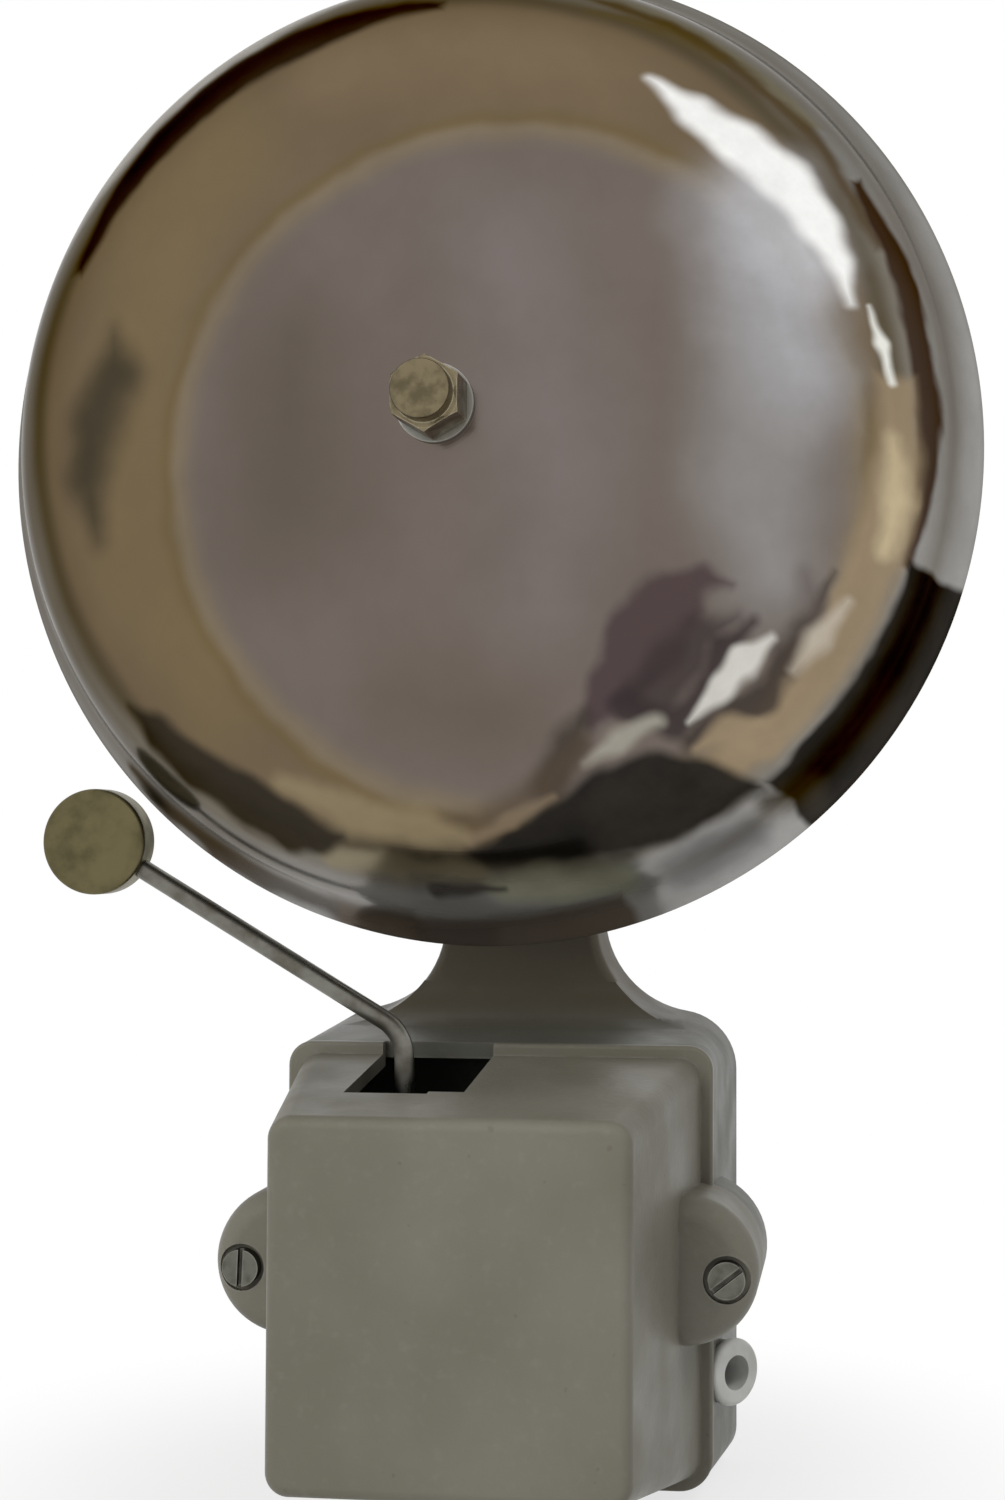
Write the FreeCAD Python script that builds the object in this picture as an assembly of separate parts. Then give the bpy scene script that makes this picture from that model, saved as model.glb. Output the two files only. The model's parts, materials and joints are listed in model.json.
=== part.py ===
"""Iron-clad electric gong bell for a wall: a trembler mechanism in a cast case rings a polished gong.

Millimetres. +Z is up, +X is to the right of somebody who faces the bell, and the bell faces -Y.
The wall is the plane Y = 0. The origin lies on the wall, midway between the two lower wall screws.
"""
import FreeCAD
import Part
import math
import os

V = FreeCAD.Vector

# ---------------------------------------------------------------- gong
GONG_STANDOFF = 55.0        # wall to the open rim
GONG_CASE_GAP = 20.8        # top of the case at the parting line to the gong's rim
GONG_RADIUS = 100.0
GONG_DEPTH = 52.5
GONG_WALL = 2.5
GONG_DOME_BALL = 244.25     # radius of the shallow dome
GONG_SHOULDER_RADIUS = 44.0
GONG_SHOULDER_END = 75.0    # degrees from the axis at which the shoulder becomes the flared skirt
GONG_FLARE_REACH = 6.7      # how far the rim stands out beyond the end of the shoulder
GONG_HOLE_CLEARANCE = 0.2
STUD_RADIUS = 4.0

# ---------------------------------------------------------------- gong pillar, washers and nut
PILLAR_RADIUS = 7.0
PILLAR_TENON_RADIUS = 5.0
PILLAR_TENON_LENGTH = 9.0
PILLAR_FLANGE_RADIUS = 11.0
PILLAR_FLANGE_THICKNESS = 4.0
PILLAR_HEX_FLATS = 19.0
PILLAR_HEX_LENGTH = 9.0
SEAT_WASHER_RADIUS = 12.0
SEAT_WASHER_THICKNESS = 1.5
NUT_WASHER_RADIUS = 7.2
NUT_WASHER_THICKNESS = 1.2
NUT_FLATS = 12.0
NUT_HEX_LENGTH = 9.0
NUT_CHAMFER = 0.6
NUT_COLLAR_RADIUS = 5.3
NUT_COLLAR_LENGTH = 4.0
NUT_COLLAR_ROUND = 0.8

# ---------------------------------------------------------------- case
CASE_HALF_WIDTH = 44.8      # at the parting line
REAR_SPREAD = 2.2           # how much wider the case is at the wall, on each side
CASE_TOP = 81.2             # at the parting line
REAR_RISE = 4.2             # how much higher the top is at the wall
CASE_FLOOR = -9.6           # at the parting line
REAR_FALL = 4.0             # how much lower the floor is at the wall
REAR_TOP_CORNER = 13.0
PARTING_CORNER = 5.0
CASE_FOOT_CORNER = 7.0
CASE_DEPTH = 38.0           # wall to the parting line
CASE_WALL = 3.5
BACK_WALL = 4.0
WORKS_DEPTH = 58.5          # wall to the front end of the space that the works take up

# ---------------------------------------------------------------- neck
NECK_HALF_WIDTH = 17.35
NECK_DRAFT = 1.0
NECK_FLARE_RADIUS = 22.0
NECK_THICKNESS = 14.0
NECK_ROOT_RADIUS = 9.0
NECK_EDGE_ROUND = 2.5
NECK_POCKET_MARGIN = 5.0
NECK_POCKET_DEPTH = 8.0
NECK_POCKET_LIFT = 14.8     # top of the case at the parting line to the foot of the pocket
NECK_POCKET_LENGTH = 42.0
GONG_BOSS_HEIGHT = 5.0
GONG_BOSS_RADIUS = 15.0
GONG_BOSS_TAPER = 1.5

# ---------------------------------------------------------------- wall fixing
WALL_SCREW_SPACING = 66.0
WALL_HOLE_RADIUS = 2.75
WALL_BOSS_RADIUS = 6.0
WALL_BOSS_HEIGHT = 1.0
UPPER_WALL_HOLE_DROP = 44.0     # below the gong's axis

# ---------------------------------------------------------------- cover
FRONT_DEPTH = 93.8          # wall to the front of the cover
COVER_WALL = 3.0
FLANGE_THICKNESS = 2.5      # of the flange that lies on the casting
FLANGE_LEDGE = 2.5          # how far the flange stands out around the cover's body
FLANGE_EDGE_ROUND = 0.8
COVER_SIDE_DRAFT = 8.3      # how much narrower the body is at its front, on each side
COVER_HEAD_DRAFT = 6.4      # how much lower its top is at the front
COVER_FOOT_DRAFT = 9.8      # how much higher its floor is at the front
COVER_CORNER = 4.5
COVER_EDGE_ROUND = 2.5
NOTCH_LEFT = -24.5
NOTCH_RIGHT = -1.0
NOTCH_SETBACK = 19.8        # front of the cover to the notch
NOTCH_LUG_WIDTH = 7.0
NOTCH_LUG_HEIGHT = 1.8

# ---------------------------------------------------------------- ears and cover screws
EAR_RADIUS = 15.0
EAR_PROJECTION = 10.4       # side of the case at the parting line to the outermost line of an ear
EAR_Z = 38.5
EAR_LENGTH = 21.3           # parting line to the front of an ear
EAR_REAR_DEPTH = 22.0       # wall to the rear end of an ear
EAR_FRONT_ROUND = 5.0
EAR_REAR_CHAMFER = 4.0
COVER_SCREW_OUTSET = 4.2    # side of the case at the parting line to the screw's axis
COVER_SCREW_DROP = 1.0      # below the middle of the ear
COVER_SCREW_RADIUS = 2.0
COVER_SCREW_HOLE_RADIUS = 2.25
COVER_SCREW_HEAD_RADIUS = 3.7
COVER_SCREW_HEAD_HEIGHT = 2.8
COVER_SCREW_RECESS_RADIUS = 4.7
COVER_SCREW_RECESS_DEPTH = 1.8
COVER_SCREW_GRIP = 12.0
COVER_SCREW_LEFT_TURN = 92.0    # degrees that each slot is turned
COVER_SCREW_RIGHT_TURN = -38.0
SLOT_WIDTH = 1.0

# ---------------------------------------------------------------- cable entry
ENTRY_Z = 13.0
ENTRY_OUTSET = 4.4          # side of the case at the parting line to the middle of the entry's face
ENTRY_SETBACK = 5.5         # parting line to the middle of the entry's face
ENTRY_ANGLE = 40.0          # degrees that the entry is turned from +X towards the front
ENTRY_BOSS_RADIUS = 6.0
ENTRY_BOSS_LENGTH = 12.0
ENTRY_BORE_RADIUS = 4.9
BUSH_FLANGE_RADIUS = 6.9
BUSH_FLANGE_THICKNESS = 2.6
BUSH_FLANGE_ROUND = 1.17
BUSH_SEAT_CLEARANCE = 0.1
BUSH_BORE_RADIUS = 3.6
BUSH_LENGTH = 12.0

# ---------------------------------------------------------------- hammer
PIVOT_X = -17.0
PIVOT_DROP = 29.2           # top of the case at the parting line to the pivot
PIN_RADIUS = 2.0
PIN_OVERHANG = 0.8
RUNNING_CLEARANCE = 0.05
BARREL_RADIUS = 4.5
ROD_RADIUS = 2.0
ROD_SETBACK = 5.0           # front end of the works' space to the rod
ROD_BEND_LIFT = 3.3         # top of the case at the parting line to the rod's bend
ROD_BEND_RADIUS = 9.0
ROD_RIM_GAP = 7.2           # rod to the gong's rim, seen from the front
HEAD_STRIKE_GAP = 1.85      # hammer head to the gong's rim at rest
HEAD_LEAD = 2.5             # how far the middle of the head stands before the rim's edge
HEAD_RADIUS = 10.8
HEAD_THICKNESS = 7.0
HEAD_EDGE_ROUND = 0.9
ROD_SINK = 5.0              # how far the rod enters the head
ROD_BOSS_RADIUS = 4.2
ROD_BOSS_DROP = 4.0         # below the pivot's axis
ROD_BOSS_RISE = 11.0        # above the pivot's axis
ROD_FOOT_RISE = 0.5
CLAMP_SCREW_RADIUS = 1.5
CLAMP_SCREW_HEAD_RADIUS = 2.6
CLAMP_SCREW_HEAD_HEIGHT = 1.8

# ---------------------------------------------------------------- armature
ARMATURE_THICKNESS = 4.0
ARMATURE_LEFT_REACH = 7.0   # pivot to where the wide plate begins
ARMATURE_FRONT_GAP = 1.0    # to the front end of the works' space
ARMATURE_REAR_GAP = 1.0     # to the magnet frame's back
BARREL_REAR_GAP = 0.6
EAR_GAP = 0.3               # between the armature's barrel and the frame's pivot ear
ARM_GAP = 0.5               # between the armature's front arm and the pivot pin
TAIL_REACH = 7.0            # pivot to the hole for the return spring
TAIL_WIDTH = 7.0
TAIL_THICKNESS = 2.5
TAIL_DROP = 1.5             # pivot's axis to the underside of the tail
TAIL_DEPTH = 30.0
TAIL_HOLE_RADIUS = 0.9

# ---------------------------------------------------------------- magnet frame
FRAME_BOSS_HEIGHT = 3.0
FRAME_BOSS_MARGIN = 0.8
FRAME_BACK_THICKNESS = 3.0
FRAME_FRONT_GAP = 1.5       # to the front end of the works' space
YOKE_LIFT = 21.6            # floor of the case at the parting line to the yoke's upper face
YOKE_THICKNESS = 4.0
FRAME_LEFT_REACH = 14.0     # pivot to the outside of the frame's left side
FRAME_SIDE_THICKNESS = 2.5
PIVOT_EAR_SETBACK = 11.5    # front end of the works' space to the pivot ear
PIVOT_EAR_THICKNESS = 2.5
PIVOT_EAR_HALF_HEIGHT = 7.0
SIDE_WINDOW_LIFT = 20.0     # yoke to the window in the frame's left side
SIDE_WINDOW_HEIGHT = 12.0
SIDE_WINDOW_NEAR = 20.0
SIDE_WINDOW_FAR = 40.0
FRAME_TAB_WIDTH = 10.0
FRAME_TAB_RISE = 8.0
FRAME_SCREW_INSET = 9.0     # left edge of the frame to its two left screws
FRAME_SCREW_LOW = 10.0      # yoke to the lowest screw
FRAME_SCREW_PITCH = 18.0
FRAME_SCREW_RADIUS = 2.0
FRAME_SCREW_HEAD_RADIUS = 3.5
FRAME_SCREW_HEAD_HEIGHT = 2.4
FRAME_SCREW_GRIP = 5.0
FRAME_SCREW_TURN = 25.0

# ---------------------------------------------------------------- electromagnet
COIL_REACH = 27.0           # pivot to the cores
COIL_GAP = 2.0              # between the two coils
COIL_BACK_GAP = 0.8         # between the rear coil and the frame
COIL_FRONT_GAP = 3.7        # between the front coil and the front end of the works' space
CORE_RADIUS = 4.0
POLE_GAP = 0.8
BOBBIN_FLANGE = 1.4
BOBBIN_TUBE_WALL = 1.0
BOBBIN_CLEARANCE = 0.15
BOBBIN_TOP_GAP = 1.6
WINDING_INSET = 0.7
CORE_SCREW_RADIUS = 2.0
CORE_SCREW_HEAD_RADIUS = 3.5
CORE_SCREW_HEAD_HEIGHT = 2.4
CORE_SCREW_GRIP = 8.0
BLIND_END = 0.5             # how far a tapped hole runs past its screw

# ---------------------------------------------------------------- return spring
SPRING_RADIUS = 2.3
SPRING_WIRE = 0.7
SPRING_COILS = 14
SPRING_LIFT = 14.0          # yoke to the foot of the spring
SPRING_HOOK_LENGTH = 3.0
SPRING_PIN_DROP = 2.0       # foot of the spring to the pin that holds it

# ---------------------------------------------------------------- contacts
CONTACT_INSET = 13.8        # side of the case at the parting line to the contacts
CONTACT_SETBACK = 10.5      # front end of the works' space to the contacts
LEAF_WIDTH = 8.0
LEAF_THICKNESS = 0.5
LEAF_TAIL = 29.0            # contacts to the leaf's fixed end
LEAF_TIP = 4.0
RIVET_RADIUS = 1.5
RIVET_HEAD_RADIUS = 2.5
RIVET_HEAD_HEIGHT = 0.8
RIVET_INSET = 4.0
RIVET_PITCH = 9.0
TIP_RADIUS = 2.0
TIP_SHANK_RADIUS = 1.0
TIP_FOOT_RADIUS = 1.6
TIP_HEIGHT = 1.2
CONTACT_GAP = 0.05
CONTACT_SCREW_RADIUS = 2.0
CONTACT_POINT_RADIUS = 1.2
CONTACT_POINT_LENGTH = 2.0
CONTACT_HEAD_RADIUS = 3.2
CONTACT_HEAD_HEIGHT = 2.8
LOCK_NUT_FLATS = 7.0
LOCK_NUT_HEIGHT = 2.6
ARM_RISE = 9.5              # pivot's axis to the underside of the contact arm
ARM_THICKNESS = 3.5
ARM_WIDTH = 8.0
ARM_FLANGE_THICKNESS = 2.0
ARM_FLANGE_MARGIN = 0.5
BLOCK_HALF_WIDTH = 7.0
BLOCK_BELOW_ARM = 7.0
BLOCK_ABOVE_ARM = 7.0
BLOCK_THICKNESS = 8.0
PAD_BOSS_HEIGHT = 3.0
SMALL_SCREW_RADIUS = 1.5
SMALL_SCREW_HEAD_RADIUS = 2.6
SMALL_SCREW_HEAD_HEIGHT = 1.9
SMALL_SCREW_BITE = 3.5      # how far a small screw enters the casting's boss

# ---------------------------------------------------------------- terminals
TERMINAL_INSET = 11.8       # side of the case at the parting line to the terminals
TERMINAL_DROP = 7.5         # underside of the contact block to the top of the terminal block
TERMINAL_HEIGHT = 26.0
TERMINAL_HALF_WIDTH = 6.6
TERMINAL_THICKNESS = 13.0
TERMINAL_PITCH = 14.0
SADDLE_THICKNESS = 1.6
SADDLE_HEIGHT = 8.0
SADDLE_HALF_WIDTH = 5.0
TERMINAL_SCREW_RADIUS = 1.75
TERMINAL_SCREW_HEAD_RADIUS = 3.1
TERMINAL_SCREW_HEAD_HEIGHT = 2.2
TERMINAL_SCREW_GRIP = 8.0
TERMINAL_SCREW_TURN = 15.0

# ---------------------------------------------------------------- derived places
GONG_Z = CASE_TOP + GONG_CASE_GAP + GONG_RADIUS
GONG_AXIS = V(0, 0, GONG_Z)
RIM_Y = -GONG_STANDOFF
CROWN_Y = RIM_Y - GONG_DEPTH
CROWN_INNER_Y = CROWN_Y + GONG_WALL
PARTING_Y = -CASE_DEPTH
FRONT_Y = -FRONT_DEPTH
LEDGE_Y = PARTING_Y - FLANGE_THICKNESS
COVER_INNER_Y = FRONT_Y + COVER_WALL
WORKS_Y = -WORKS_DEPTH
REAR_HALF_WIDTH = CASE_HALF_WIDTH + REAR_SPREAD
REAR_TOP = CASE_TOP + REAR_RISE
REAR_FLOOR = CASE_FLOOR - REAR_FALL
BACK_Y = -BACK_WALL
NECK_Y = -NECK_THICKNESS
BOSS_FACE_Y = NECK_Y - GONG_BOSS_HEIGHT
EAR_X = CASE_HALF_WIDTH + EAR_PROJECTION - EAR_RADIUS
EAR_FRONT_Y = PARTING_Y - EAR_LENGTH
COVER_SCREW_X = CASE_HALF_WIDTH + COVER_SCREW_OUTSET
COVER_SCREW_Z = EAR_Z - COVER_SCREW_DROP
FRAME_BACK_Y = BACK_Y - FRAME_BOSS_HEIGHT
FRAME_TAB_Y = FRAME_BACK_Y - FRAME_BACK_THICKNESS
PIVOT_Z = CASE_TOP - PIVOT_DROP
PIVOT_EAR_Y = WORKS_Y + PIVOT_EAR_SETBACK
BARREL_FRONT_Y = PIVOT_EAR_Y + PIVOT_EAR_THICKNESS + EAR_GAP
BARREL_REAR_Y = FRAME_TAB_Y - BARREL_REAR_GAP
ARMATURE_LOW = PIVOT_Z - ARMATURE_THICKNESS / 2
ARMATURE_TOP = PIVOT_Z + ARMATURE_THICKNESS / 2
ARMATURE_FRONT_Y = WORKS_Y + ARMATURE_FRONT_GAP
TAIL_X = PIVOT_X - TAIL_REACH
ROD_Y = WORKS_Y + ROD_SETBACK
CLAMP_Z = (ARMATURE_TOP + PIVOT_Z + ROD_BOSS_RISE) / 2
ROD_BEND_Z = CASE_TOP + ROD_BEND_LIFT
HEAD_Y = RIM_Y - HEAD_LEAD
YOKE_TOP = CASE_FLOOR + YOKE_LIFT
YOKE_LOW = YOKE_TOP - YOKE_THICKNESS
FRAME_LEFT = PIVOT_X - FRAME_LEFT_REACH
FRAME_TOP = PIVOT_Z + PIVOT_EAR_HALF_HEIGHT
POLE_Z = ARMATURE_LOW - POLE_GAP
COIL_X = PIVOT_X + COIL_REACH
COIL_SPAN = FRAME_TAB_Y - COIL_BACK_GAP - WORKS_Y - COIL_FRONT_GAP
COIL_RADIUS = (COIL_SPAN - COIL_GAP) / 4
REAR_COIL_Y = FRAME_TAB_Y - COIL_BACK_GAP - COIL_RADIUS
FRONT_COIL_Y = REAR_COIL_Y - 2 * COIL_RADIUS - COIL_GAP
BOBBIN_TOP = POLE_Z - BOBBIN_TOP_GAP
BOBBIN_TUBE_RADIUS = CORE_RADIUS + BOBBIN_TUBE_WALL
SPRING_FOOT_Z = YOKE_TOP + SPRING_LIFT
SPRING_PIN_Z = SPRING_FOOT_Z - SPRING_PIN_DROP
CONTACT_X = CASE_HALF_WIDTH - CONTACT_INSET
CONTACT_Y = WORKS_Y + CONTACT_SETBACK
LEAF_LEFT = CONTACT_X - LEAF_TAIL
LEAF_TOP = ARMATURE_TOP + LEAF_THICKNESS
RIVET_XS = (LEAF_LEFT + RIVET_INSET, LEAF_LEFT + RIVET_INSET + RIVET_PITCH)
TIP_TOP = LEAF_TOP + TIP_HEIGHT
ARM_LOW = PIVOT_Z + ARM_RISE
ARM_TOP = ARM_LOW + ARM_THICKNESS
BLOCK_LOW = ARM_LOW - BLOCK_BELOW_ARM
BLOCK_HIGH = ARM_TOP + BLOCK_ABOVE_ARM
BLOCK_BACK_Y = BACK_Y - PAD_BOSS_HEIGHT
BLOCK_FRONT_Y = BLOCK_BACK_Y - BLOCK_THICKNESS
ARM_FLANGE_Y = BLOCK_FRONT_Y - ARM_FLANGE_THICKNESS
FRAME_RIGHT = CONTACT_X - BLOCK_HALF_WIDTH
FRAME_SCREW_SPOTS = ((FRAME_LEFT + FRAME_SCREW_INSET, YOKE_TOP + FRAME_SCREW_LOW),
                     (FRAME_LEFT + FRAME_SCREW_INSET, YOKE_TOP + FRAME_SCREW_LOW + FRAME_SCREW_PITCH),
                     (FRAME_RIGHT - FRAME_TAB_WIDTH / 2, FRAME_TOP + FRAME_TAB_RISE - FRAME_TAB_WIDTH / 2))
TERMINAL_X = CASE_HALF_WIDTH - TERMINAL_INSET
TERMINAL_HIGH = BLOCK_LOW - TERMINAL_DROP
TERMINAL_LOW = TERMINAL_HIGH - TERMINAL_HEIGHT
TERMINAL_MID = (TERMINAL_LOW + TERMINAL_HIGH) / 2
TERMINAL_HEIGHTS = (TERMINAL_MID - TERMINAL_PITCH / 2, TERMINAL_MID + TERMINAL_PITCH / 2)
TERMINAL_FRONT_Y = BLOCK_BACK_Y - TERMINAL_THICKNESS
SADDLE_Y = TERMINAL_FRONT_Y - SADDLE_THICKNESS
LOOSE = 1.0                 # how far a cutting tool runs past the face that it cuts


# ================================================================ small helpers
def block(x0, x1, y0, y1, z0, z1):
    """A box between two corners, whose Y values may come in either order."""
    low, high = min(y0, y1), max(y0, y1)
    return Part.makeBox(x1 - x0, high - low, z1 - z0, V(x0, low, z0))


def rod_y(radius, y0, y1, x, z):
    """A cylinder along Y."""
    low, high = min(y0, y1), max(y0, y1)
    return Part.makeCylinder(radius, high - low, V(x, low, z), V(0, 1, 0))


def rod_z(radius, z0, z1, x, y):
    """An upright cylinder."""
    return Part.makeCylinder(radius, z1 - z0, V(x, y, z0), V(0, 0, 1))


def hex_bar(flats, start, direction, length):
    """A hexagonal bar of a given width across flats, from start along direction."""
    radius = flats / math.sqrt(3)
    corners = []
    for i in range(7):
        angle = math.radians(60 * i + 30)
        corners.append(V(radius * math.cos(angle), radius * math.sin(angle), 0))
    bar = Part.Face(Part.makePolygon(corners)).extrude(V(0, 0, length))
    bar.Placement = FreeCAD.Placement(start, FreeCAD.Rotation(V(0, 0, 1), direction))
    return bar


def fuse(shapes):
    """One solid out of several that touch or overlap."""
    return shapes[0].multiFuse(shapes[1:]).removeSplitter()


def group(shapes):
    """Separate solids that share one node."""
    return Part.makeCompound(shapes)


def arc_edge(centre, radius, angle0, angle1, place):
    """An arc in a drawing plane; place() turns plane coordinates into a point in space."""
    points = []
    for angle in (angle0, (angle0 + angle1) / 2, angle1):
        points.append(place(centre[0] + radius * math.cos(angle), centre[1] + radius * math.sin(angle)))
    return Part.Arc(*points).toShape()


def line_edge(start, end):
    """A straight edge."""
    return Part.LineSegment(start, end).toShape()


def edges_at(shape, test):
    """The edges of a shape whose middle passes a test."""
    found = []
    for edge in shape.Edges:
        middle = edge.valueAt((edge.FirstParameter + edge.LastParameter) / 2)
        if test(middle, edge):
            found.append(edge)
    return found


def is_circle(edge):
    """Whether an edge is a full circle."""
    return isinstance(edge.Curve, Part.Circle) and edge.Closed


def cheese_screw(radius, head_radius, head_height, grip, slot_angle=0.0):
    """A slotted cheese-head screw: the seat of its head at the origin, its head towards -Y."""
    head = rod_y(head_radius, 0, -head_height, 0, 0)
    shank = rod_y(radius, 0, grip, 0, 0)
    screw = fuse([head, shank])
    slot = block(-head_radius - LOOSE, head_radius + LOOSE, -head_height - LOOSE, -head_height / 2,
                 -SLOT_WIDTH / 2, SLOT_WIDTH / 2)
    slot.rotate(V(0, 0, 0), V(0, 1, 0), slot_angle)
    return screw.cut(slot)


def moved(shape, x, y, z):
    """A copy of a shape, moved."""
    copy = shape.copy()
    copy.translate(V(x, y, z))
    return copy


# ================================================================ gong
def gong_curves():
    """Centres, radii and end angles of the three arcs of the gong's outer profile.

    The profile lies in a plane of radius and depth in front of the rim. Angles are those of the
    outward normal, measured from the radius axis towards the front.
    """
    end_angle = math.radians(90 - GONG_SHOULDER_END)
    normal = (math.cos(end_angle), math.sin(end_angle))
    reach = GONG_DOME_BALL - GONG_SHOULDER_RADIUS
    shoulder_x = GONG_RADIUS - GONG_FLARE_REACH - GONG_SHOULDER_RADIUS * normal[0]
    rise = math.sqrt(reach ** 2 - shoulder_x ** 2)
    dome_centre = (0.0, GONG_DEPTH - GONG_DOME_BALL)
    shoulder_centre = (shoulder_x, dome_centre[1] + rise)
    dome_angle = math.atan2(rise, shoulder_x)
    skirt = (shoulder_centre[0] + GONG_SHOULDER_RADIUS * normal[0],
             shoulder_centre[1] + GONG_SHOULDER_RADIUS * normal[1])
    chord = (GONG_RADIUS - skirt[0], -skirt[1])
    length = math.hypot(*chord)
    turn = math.acos((chord[0] * normal[1] - chord[1] * normal[0]) / length)
    flare = length / (2 * math.sin(turn))
    flare_centre = (skirt[0] + flare * normal[0], skirt[1] + flare * normal[1])
    return ((dome_centre, GONG_DOME_BALL, math.pi / 2, dome_angle),
            (shoulder_centre, GONG_SHOULDER_RADIUS, dome_angle, end_angle),
            (flare_centre, flare, math.pi + end_angle, math.pi + end_angle + 2 * turn))


def make_gong():
    """The gong: a shallow dome, a round shoulder and a flared skirt, spun from sheet of one thickness."""
    def place(radius, depth):
        return V(radius, RIM_Y - depth, GONG_Z)
    dome, shoulder, flare = gong_curves()
    hole = STUD_RADIUS + GONG_HOLE_CLEARANCE
    outer = [arc_edge(dome[0], dome[1], math.acos(hole / dome[1]), dome[3], place),
             arc_edge(shoulder[0], shoulder[1], shoulder[2], shoulder[3], place),
             arc_edge(flare[0], flare[1], flare[2], flare[3], place)]
    inner_dome = dome[1] - GONG_WALL
    inner_shoulder = shoulder[1] - GONG_WALL
    inner_flare = flare[1] + GONG_WALL
    rim_angle = math.pi + math.asin(flare[0][1] / inner_flare)
    inner = [arc_edge(flare[0], inner_flare, rim_angle, flare[2], place),
             arc_edge(shoulder[0], inner_shoulder, shoulder[3], shoulder[2], place),
             arc_edge(dome[0], inner_dome, dome[3], math.acos(hole / inner_dome), place)]
    rim = line_edge(outer[2].lastVertex(True).Point, inner[0].firstVertex(True).Point)
    bore = line_edge(inner[2].lastVertex(True).Point, outer[0].firstVertex(True).Point)
    wire = Part.Wire(Part.__sortEdges__(outer + [rim] + inner + [bore]))
    return Part.Face(wire).revolve(GONG_AXIS, V(0, 1, 0), 360)


def make_gong_pillar():
    """The turned steel post that carries the gong: tenon, flange, hexagon, body and stud."""
    seat_y = CROWN_INNER_Y + SEAT_WASHER_THICKNESS
    stud_end = CROWN_Y - NUT_WASHER_THICKNESS - NUT_HEX_LENGTH
    parts = [rod_y(PILLAR_TENON_RADIUS, BOSS_FACE_Y + PILLAR_TENON_LENGTH, BOSS_FACE_Y, 0, GONG_Z),
             rod_y(PILLAR_FLANGE_RADIUS, BOSS_FACE_Y, BOSS_FACE_Y - PILLAR_FLANGE_THICKNESS, 0, GONG_Z),
             hex_bar(PILLAR_HEX_FLATS, V(0, BOSS_FACE_Y - PILLAR_FLANGE_THICKNESS, GONG_Z), V(0, -1, 0),
                     PILLAR_HEX_LENGTH),
             rod_y(PILLAR_RADIUS, BOSS_FACE_Y - PILLAR_FLANGE_THICKNESS, seat_y, 0, GONG_Z),
             rod_y(STUD_RADIUS, seat_y, stud_end, 0, GONG_Z)]
    return fuse(parts)


def make_washer(radius, y_rear, thickness):
    """A flat washer on the gong's stud."""
    ring = rod_y(radius, y_rear, y_rear - thickness, 0, GONG_Z)
    return ring.cut(rod_y(STUD_RADIUS, y_rear + LOOSE, y_rear - thickness - LOOSE, 0, GONG_Z))


def make_seat_washer():
    """The soft washer behind the gong, moulded to the inside of the dome."""
    centre, ball, start, end = gong_curves()[0]
    ring = make_washer(SEAT_WASHER_RADIUS, CROWN_INNER_Y + SEAT_WASHER_THICKNESS, SEAT_WASHER_THICKNESS)
    inside = Part.makeSphere(ball - GONG_WALL, V(0, RIM_Y - centre[1], GONG_Z), V(0, 1, 0))
    return ring.common(inside)


def make_gong_nut():
    """The hexagonal nut, chamfered in front, with a round collar."""
    rear = CROWN_Y - NUT_WASHER_THICKNESS
    front = rear - NUT_HEX_LENGTH
    corner = NUT_FLATS / math.sqrt(3)
    hexagon = hex_bar(NUT_FLATS, V(0, rear, GONG_Z), V(0, -1, 0), NUT_HEX_LENGTH)
    turned = rod_y(corner, rear, front, 0, GONG_Z)
    turned = turned.makeChamfer(NUT_CHAMFER, edges_at(turned, lambda m, e: abs(m.y - front) < 0.01))
    collar = rod_y(NUT_COLLAR_RADIUS, front + NUT_CHAMFER, front - NUT_COLLAR_LENGTH, 0, GONG_Z)
    nut = fuse([hexagon.common(turned), collar])
    nut = nut.makeFillet(NUT_COLLAR_ROUND, edges_at(
        nut, lambda m, e: abs(m.y - front + NUT_COLLAR_LENGTH) < 0.01))
    return nut.cut(rod_y(STUD_RADIUS, rear + LOOSE, front, 0, GONG_Z))


# ================================================================ case
def bottle_wire(y, half_width, floor, top, corner, neck, neck_top):
    """The outline of case and neck in one plane: a box whose shoulders sweep up into the neck.

    The convex corner of the box and the concave flare of the neck touch each other tangentially.
    """
    def place(x, z):
        return V(x, y, z)
    foot = CASE_FOOT_CORNER
    corner_x, corner_z = half_width - corner, top - corner
    flare_x = neck + NECK_FLARE_RADIUS
    reach = NECK_FLARE_RADIUS + corner
    flare_z = corner_z + math.sqrt(reach ** 2 - (flare_x - corner_x) ** 2)
    lean = math.atan2(flare_z - corner_z, flare_x - corner_x)
    quarter = math.pi / 2
    edges = [line_edge(place(foot - half_width, floor), place(half_width - foot, floor)),
             arc_edge((half_width - foot, floor + foot), foot, -quarter, 0, place),
             line_edge(place(half_width, floor + foot), place(half_width, corner_z)),
             arc_edge((corner_x, corner_z), corner, 0, lean, place),
             arc_edge((flare_x, flare_z), NECK_FLARE_RADIUS, lean + math.pi, math.pi, place),
             line_edge(place(neck, flare_z), place(neck, neck_top)),
             arc_edge((0, neck_top), neck, 0, math.pi, place),
             line_edge(place(-neck, neck_top), place(-neck, flare_z)),
             arc_edge((-flare_x, flare_z), NECK_FLARE_RADIUS, 0, -lean, place),
             arc_edge((-corner_x, corner_z), corner, math.pi - lean, math.pi, place),
             line_edge(place(-half_width, corner_z), place(-half_width, floor + foot)),
             arc_edge((foot - half_width, floor + foot), foot, math.pi, 3 * quarter, place)]
    return Part.Wire(edges)


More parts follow.
